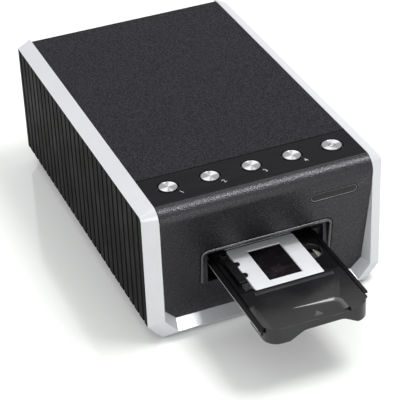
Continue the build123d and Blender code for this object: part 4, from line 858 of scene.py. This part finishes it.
class SCANNER_OT_grip_marks(bpy.types.Operator):
    """Hollowed edge of the thumb scoop, a row of short raised ticks and a small arrow"""

    bl_idname = "scanner.grip_marks"
    bl_label = "Grip marks"

    def execute(self, context):
        tray = settings("scanner_tray")
        # ticks and arrow: the grip's plastic made much lighter, a painted highlight on the raised marks
        plastic = moulded("Tick satin", tinted(tray.plastic, 7.0), rough=0.25, depth=0.00001, shine=0.5)
        low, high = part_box("holder_grip")
        self.ticks(high, plastic)
        self.bowl(low.y, high.z, tray)
        self.arrow(low.y, high.z, plastic)
        return {"FINISHED"}

    def ticks(self, corner, plastic):
        """One four-sided frustum repeated along the grip's back edge."""
        frustum = np.array([
            (-1, -1, 0), (1, -1, 0), (1, 1, 0), (-1, 1, 0),
            (-0.6, -0.8, 1), (0.6, -0.8, 1), (0.6, 0.8, 1), (-0.6, 0.8, 1),
        ]) * TICK_SIZE
        sides = np.array([
            (3, 2, 1, 0), (4, 5, 6, 7), (0, 1, 5, 4), (1, 2, 6, 5), (2, 3, 7, 6), (3, 0, 4, 7),
        ])
        y, z = corner.y - TICK_BACK, corner.z - TICK_SINK
        middle = straight((TICK_ROW[0], y, z), (TICK_ROW[1], y, z), TICK_COUNT)
        points = middle[:, None] + frustum
        faces = (sides + len(frustum) * np.arange(TICK_COUNT)[:, None, None]).reshape(-1, 4)
        from_arrays("grip_ticks", points, faces, "film_holder", plastic, smooth=20)

    def bowl(self, tip, top, tray):
        """Hollowed edge of the scoop.

        The scoop's floor slopes: it lies SCOOP_DEPTH times the rise below the top,
        with the rise 0..1 from left to right. From the scoop's back and right edge
        the depth grows as 1 - (1 - t) squared over the share t of the way in.
        """
        right, back = SCOOP_LEFT + SCOOP_RUN, tip + SCOOP_LENGTH
        turn = np.linspace(math.pi / 2, 0, 13)[1:-1]
        edge = np.concatenate([
            straight((SCOOP_LEFT, back), (right - SCOOP_CORNER, back), 13),
            np.stack([right - SCOOP_CORNER + SCOOP_CORNER * np.cos(turn),
                      back - SCOOP_CORNER + SCOOP_CORNER * np.sin(turn)], -1),
            straight((right, back - SCOOP_CORNER), (right, tip + BOWL_FRONT), 7),
        ])
        along = np.gradient(edge, axis=0)
        along /= np.linalg.norm(along, axis=1, keepdims=True)
        inward = np.stack([along[:, 1], -along[:, 0]], -1)
        rise = self.rise(edge[:, :1])
        share = np.linspace(0, 1, BOWL_STEPS)
        shift = rise * (-BOWL_OVERLAP + (BOWL_WIDTH + BOWL_OVERLAP) * share)
        plan = edge[:, None] + shift[..., None] * inward[:, None]
        foot = SCOOP_DEPTH * self.rise(plan[:, -1:, 0]) - BOWL_SINK
        z = top - BOWL_SINK - foot * (1 - (1 - share) ** 2)
        uv = np.stack(np.broadcast_arrays(rise, share[None]), -1)
        points = np.concatenate([plan, z[..., None]], -1)
        faces = grid_faces(len(edge), len(share))
        # satin with a painted highlight towards the scoop's edge
        satin = worn_scoop(tray.plastic)
        from_arrays("scoop_bowl", points, faces, "film_holder", satin, uv=uv, smooth=50)

    def arrow(self, tip, top, plastic):
        """Raised triangle on the sloping scoop, its sides drawn in towards the top."""
        corner = np.array(ARROW_CORNERS) + (0, tip)
        inner = corner.mean(0) + (corner - corner.mean(0)) * ARROW_TOP_SHARE
        plan = np.concatenate([corner, inner])
        z = top - SCOOP_DEPTH * self.rise(plan[:, 0]) + np.repeat(ARROW_HEIGHTS, 3)
        faces = [(2, 1, 0), (3, 4, 5), (0, 1, 4, 3), (1, 2, 5, 4), (2, 0, 3, 5)]
        points = np.column_stack([plan, z])
        from_arrays("grip_arrow", points, faces, "film_holder", plastic, smooth=20)

    def rise(self, x):
        """Share of the scoop's run at width x: 0 at its left end, 1 at its right."""
        return (x - SCOOP_LEFT) / SCOOP_RUN


class SCANNER_OT_slides(bpy.types.Operator):
    """White slide mounts with dark film"""

    bl_idname = "scanner.slides"
    bl_label = "Slides"

    def execute(self, context):
        tray = settings("scanner_tray")
        white = moulded("Mount plastic", tray.mount, rough=0.38, size=0.0006, mottle=0.03)
        rounded_node("slide_mounts", tray.mount_edge, white)
        dress(frame["nodes"]["film_chips"], developed_film(tray.film))
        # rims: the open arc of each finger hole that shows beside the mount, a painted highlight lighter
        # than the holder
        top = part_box("holder_frame")[1].z
        turn = np.linspace(-FINGER_RIM_TURN, FINGER_RIM_TURN, 33)
        height = np.full_like(turn, top - FINGER_RIM_SINK)
        middle_x, radius = FINGER_HOLE
        rim = moulded("Hole rim", tinted(tray.plastic, 2.2), rough=0.2, depth=0.00001, shine=0.5)
        for bay in range(MOUNT_BAYS):
            middle_y = FRONT_RIDGE + FIRST_BAY + BAY_PITCH * bay
            x, y = middle_x + radius * np.cos(turn), middle_y + radius * np.sin(turn)
            arc = np.stack([x, y, height], -1)
            bead(f"finger_rim_{bay + 1}", arc, UP, *FINGER_RIM, "film_holder", "holder_black", rim)
        return {"FINISHED"}


# ---------------------------------------------------------------- inside
class SCANNER_OT_inside(bpy.types.Operator):
    """Finishes of the drive, optics, boards, sockets and fasteners"""

    bl_idname = "scanner.inside"
    bl_label = "Inside"

    def execute(self, context):
        steel = bare_metal("Bright steel", (0.56, 0.56, 0.57))
        acetal = moulded(
            "Acetal", (0.72, 0.72, 0.69), rough=0.35, size=0.0003, depth=0.00001, mottle=0.05,
        )
        brass = bare_metal("Turned brass", (0.70, 0.52, 0.24), rough=0.28)
        chassis = moulded(
            "Chassis black", (0.03, 0.03, 0.032), rough=0.55, size=0.0006, depth=0.00004,
        )
        diffuser = moulded(
            "Diffuser", (0.86, 0.88, 0.9), rough=0.5, size=0.0003, depth=0.00001, mottle=0.02,
        )
        rubber = moulded(
            "Foot rubber", (0.015, 0.015, 0.015), rough=0.75, size=0.0008, depth=0.00006,
        )
        board = board_green("Board", (0.02, 0.12, 0.05))
        finishes = {
            "case_screws": steel, "board_screws": steel, "usb_port": steel, "motor_bracket": steel,
            "drive_shaft": steel, "reduction_axle": steel, "motor_shaft": steel,
            "stepper_motor": bare_metal("Motor can", (0.42, 0.42, 0.43), rough=0.36),
            "drive_rack": acetal, "rack_pinion": acetal, "drive_gear": acetal, "reduction_gear": acetal,
            "shaft_bush": brass, "motor_pinion": brass,
            "left_guide": chassis, "right_guide": chassis, "shaft_post": chassis,
            "lamp_bridge": chassis, "lamp_housing": chassis, "optics_box": chassis,
            "lamp_diffuser": diffuser,
            "main_board": board, "control_board": board, "sensor_board": board, "led_bar": board,
            "key_switches": moulded("Switch plastic", (0.03, 0.03, 0.03), rough=0.4),
            "power_jack": moulded("Jack plastic", (0.02, 0.02, 0.02), rough=0.4),
            "mirror": bare_metal("Mirror silver", (0.93, 0.93, 0.93), rough=0.08),
            "lens_barrel": moulded("Lens barrel", (0.02, 0.02, 0.022), rough=0.3),
            "lens_glass": clear_glass("Lens glass", (0.85, 0.92, 0.95)),
            "rubber_feet": rubber,
        }
        for node, material in finishes.items():
            dress(frame["nodes"][node], material, smooth_angle=30)
        return {"FINISHED"}


# ---------------------------------------------------------------- studio
class SCANNER_OT_studio(bpy.types.Operator):
    """Pale floor, white surroundings, soft lamps and the camera"""

    bl_idname = "scanner.studio"
    bl_label = "Studio"

    def execute(self, context):
        studio = settings("scanner_studio")
        scene = context.scene
        scene.view_settings.view_transform = "Standard"
        floor = self.floor(studio)
        self.world(scene)
        for name, place, target, size, power in LAMPS:
            self.lamp(name, place, target, size, power)
        self.camera(scene, studio)
        return {"FINISHED"}

    def floor(self, studio):
        """Flat floor under the feet."""
        mesh = bpy.data.meshes.new("floor")
        reach = FLOOR_REACH
        corners = [(-reach, -reach, 0), (reach, -reach, 0), (reach, reach, 0), (-reach, reach, 0)]
        mesh.from_pydata(corners, [], [(0, 1, 2, 3)])
        floor = bpy.data.objects.new("floor", mesh)
        bpy.context.scene.collection.objects.link(floor)
        f = Finish("Floor paper")
        seen = f.node("ShaderNodeLightPath").outputs["Is Camera Ray"]
        f.set(
            Base_Color=f.mix(f.noise(0.4, 2.0), tinted(studio.floor, 0.995), studio.floor),
            Roughness=0.10,
            Specular_IOR_Level=0.9,
            Emission_Color=(1, 1, 1, 1),
            Emission_Strength=f.math("MULTIPLY", seen, studio.lift),
        )
        dress(floor, f.material)
        return floor

    def world(self, scene):
        """Plain dome, brighter overhead than low down, and white in view, through glass and in gloss."""
        world = bpy.data.worlds.new("Studio")
        world.use_nodes = True
        scene.world = world
        world.node_tree.nodes.clear()
        n = Nodes(world.node_tree)
        ray = n.node("ShaderNodeLightPath").outputs
        direct = n.math("MAXIMUM", ray["Is Camera Ray"], ray["Is Transmission Ray"])
        seen = n.math("MAXIMUM", direct, ray["Is Glossy Ray"])
        place = n.node("ShaderNodeTexCoord").outputs["Generated"]
        height = n.node("ShaderNodeSeparateXYZ", {0: place}).outputs["Z"]
        light = n.node("ShaderNodeBackground", {
            "Color": (0.98, 0.99, 1.0, 1), "Strength": n.ramp(height, *DOME_RISE, *DOME_LIGHT),
        })
        white = n.node("ShaderNodeBackground", {"Color": (1, 1, 1, 1)})
        mix = n.node("ShaderNodeMixShader", {0: seen, 1: light.outputs[0], 2: white.outputs[0]})
        n.node("ShaderNodeOutputWorld", {"Surface": mix.outputs[0]})

    def lamp(self, name, place, target, size, power):
        """Square soft lamp facing a target."""
        data = bpy.data.lights.new(name, "AREA")
        data.size = size
        data.energy = power
        lamp = bpy.data.objects.new(name, data)
        bpy.context.scene.collection.objects.link(lamp)
        lamp.location = place
        lamp.rotation_euler = (Vector(target) - Vector(place)).to_track_quat("-Z", "Y").to_euler()

    def camera(self, scene, studio):
        """Camera where the photograph was taken from."""
        camera = bpy.data.objects.new("Camera", bpy.data.cameras.new("Camera"))
        scene.collection.objects.link(camera)
        camera.location = studio.place
        camera.rotation_euler = studio.turn
        camera.data.lens = studio.lens
        camera.data.sensor_width = SENSOR_WIDTH
        scene.camera = camera


# ---------------------------------------------------------------- panel and start
STEPS = (
    SCANNER_OT_trim, SCANNER_OT_shells, SCANNER_OT_surround, SCANNER_OT_keys, SCANNER_OT_marks,
    SCANNER_OT_tray, SCANNER_OT_grip_marks, SCANNER_OT_slides, SCANNER_OT_inside, SCANNER_OT_studio,
)
GROUPS = {
    "scanner_shell": ScannerShell,
    "scanner_keys": ScannerKeys,
    "scanner_tray": ScannerTray,
    "scanner_studio": ScannerStudio,
}


class SCANNER_PT_panel(bpy.types.Panel):
    """Settings and steps of the scanner"""

    bl_label = "Film scanner"
    bl_idname = "SCANNER_PT_panel"
    bl_space_type = "VIEW_3D"
    bl_region_type = "UI"
    bl_category = "Scanner"

    def draw(self, context):
        for group, kind in GROUPS.items():
            box = self.layout.box()
            for field in kind.__annotations__:
                box.prop(getattr(context.scene, group), field)
        for step in STEPS:
            self.layout.operator(step.bl_idname)


CLASSES = (*GROUPS.values(), *STEPS, SCANNER_PT_panel)


def register():
    for kind in CLASSES:
        bpy.utils.register_class(kind)
    for group, kind in GROUPS.items():
        setattr(bpy.types.Scene, group, PointerProperty(type=kind))


def unregister():
    for group in GROUPS:
        delattr(bpy.types.Scene, group)
    for kind in reversed(CLASSES):
        bpy.utils.unregister_class(kind)


def main():
    """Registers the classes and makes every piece."""
    register()
    for step in STEPS:
        family, action = step.bl_idname.split(".")
        getattr(getattr(bpy.ops, family), action)()


if __name__ == "__main__":
    main()
